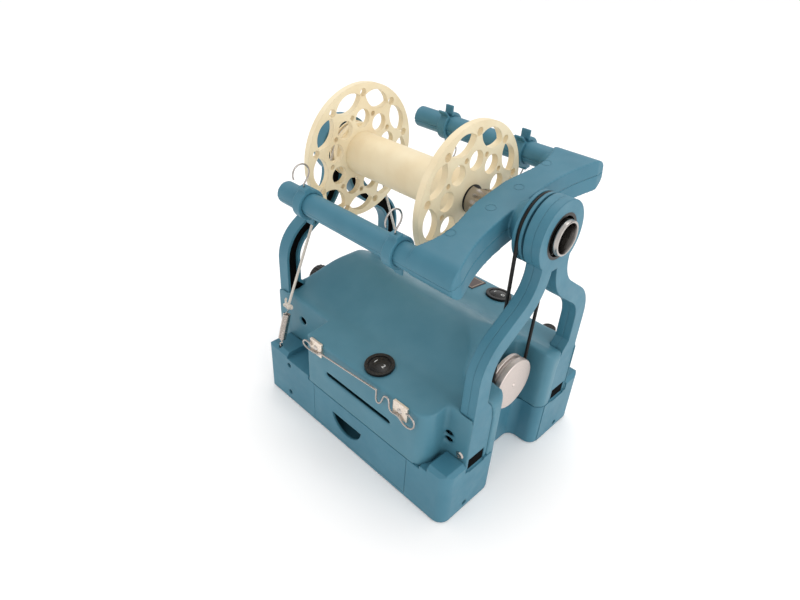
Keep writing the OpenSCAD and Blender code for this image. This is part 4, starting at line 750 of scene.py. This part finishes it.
for middle, normal in (((0, 0, channelShadeEnds["top"]), (0, 0, 1)), ((0, 0, channelShadeEnds["bottom"]), (0, 0, 1)),
                       ((0, channelShadeEnds["inside"], 0), (0, 1, 0)), ((0, -channelShadeEnds["inside"], 0), (0, 1, 0))):
    bpy.ops.mesh.select_all(action="SELECT")
    bpy.ops.mesh.bisect(plane_co=middle, plane_no=normal)
bpy.ops.mesh.select_all(action="DESELECT")
bpy.ops.object.mode_set(mode="OBJECT")
for face in channelShade.data.polygons:              # clear of the bearing's boss and of the knob's spool
    low = face.center.z < channelShadeEnds["bottom"] and abs(face.center.y) < channelShadeEnds["inside"]
    face.select = low or face.center.z > channelShadeEnds["top"]
bpy.ops.object.mode_set(mode="EDIT")
bpy.ops.mesh.delete(type="FACE")
bpy.ops.mesh.select_all(action="SELECT")
bpy.ops.mesh.extrude_region_move(TRANSFORM_OT_translate={"value": (channelShadeEnds["fill"] * mm, 0, 0)})
bpy.ops.mesh.select_all(action="SELECT")
bpy.ops.mesh.normals_make_consistent(inside=False)
bpy.ops.object.mode_set(mode="OBJECT")
print("lining faces:", len(channelShade.data.polygons))
wear(channelShade, "shade", "stand", "black_plastic")
print("turnings made")


# Room: pale floor, white surround and soft lamps
room = {"floor": 6.0, "tone": (0.985, 0.970, 0.962, 1), "toneDeep": (0.970, 0.955, 0.948, 1),
        "glow": 0.07, "surround": 0.98, "cardAim": (0.08, 0, 0.2), "lamp": 0.9, "key": 5.0, "fill": 6.0}
deselect()
bpy.ops.mesh.primitive_circle_add(vertices=96, radius=room["floor"], fill_type="NGON", location=(0, 0, 0))
floor = bpy.context.object
floor.name = "paleFloor"
paper = Finish("paperFloor", Roughness=0.75)
paper.set("Base Color", paper.mix(paper.noise(6, 2), room["toneDeep"], room["tone"]))
paper.set("Emission Color", (1, 1, 1, 1))
paper.set("Emission Strength", room["glow"])
floor.data.materials.append(paper.material)
world = bpy.data.worlds.new("studio")
bpy.context.scene.world = world
world.use_nodes = True
world.node_tree.nodes["Background"].inputs["Color"].default_value = (1, 1, 1, 1)
world.node_tree.nodes["Background"].inputs["Strength"].default_value = room["surround"]

# Dark cards that show only in reflections
cardFinish = plainGrain("darkCard", (0.03, 0.03, 0.03, 1), 0.9, 0.0001)
for name, place, size in (("nearCard", (-0.75, -0.70, 0.95), 0.55), ("farCard", (-0.70, 0.75, 0.85), 0.5),
                          ("lowCard", (0.75, 0.85, 0.10), 0.35)):
    deselect()
    turn = (Vector(room["cardAim"]) - Vector(place)).to_track_quat("Z", "Y").to_euler()
    bpy.ops.mesh.primitive_plane_add(size=size, location=place, rotation=turn)
    card = bpy.context.object
    card.name = name
    card.data.materials.append(cardFinish)
    card.visible_camera = card.visible_diffuse = card.visible_shadow = card.visible_transmission = False


def softLamp(name, place, aim, size, power):
    bpy.ops.object.light_add(type="AREA", location=place)
    lamp = bpy.context.object
    lamp.name = name
    lamp.data.size = size
    lamp.data.energy = power
    lamp.rotation_euler = (Vector(aim) - Vector(place)).to_track_quat("-Z", "Y").to_euler()


deselect()
softLamp("keyLamp", (-0.35, 0.55, 1.5), (0, 0, 0.1), room["lamp"], room["key"])
softLamp("fillLamp", (1.5, 0.1, 0.75), (0, 0, 0.12), room["lamp"], room["fill"])
bpy.context.scene.view_settings.view_transform = "Standard"
print("room made")
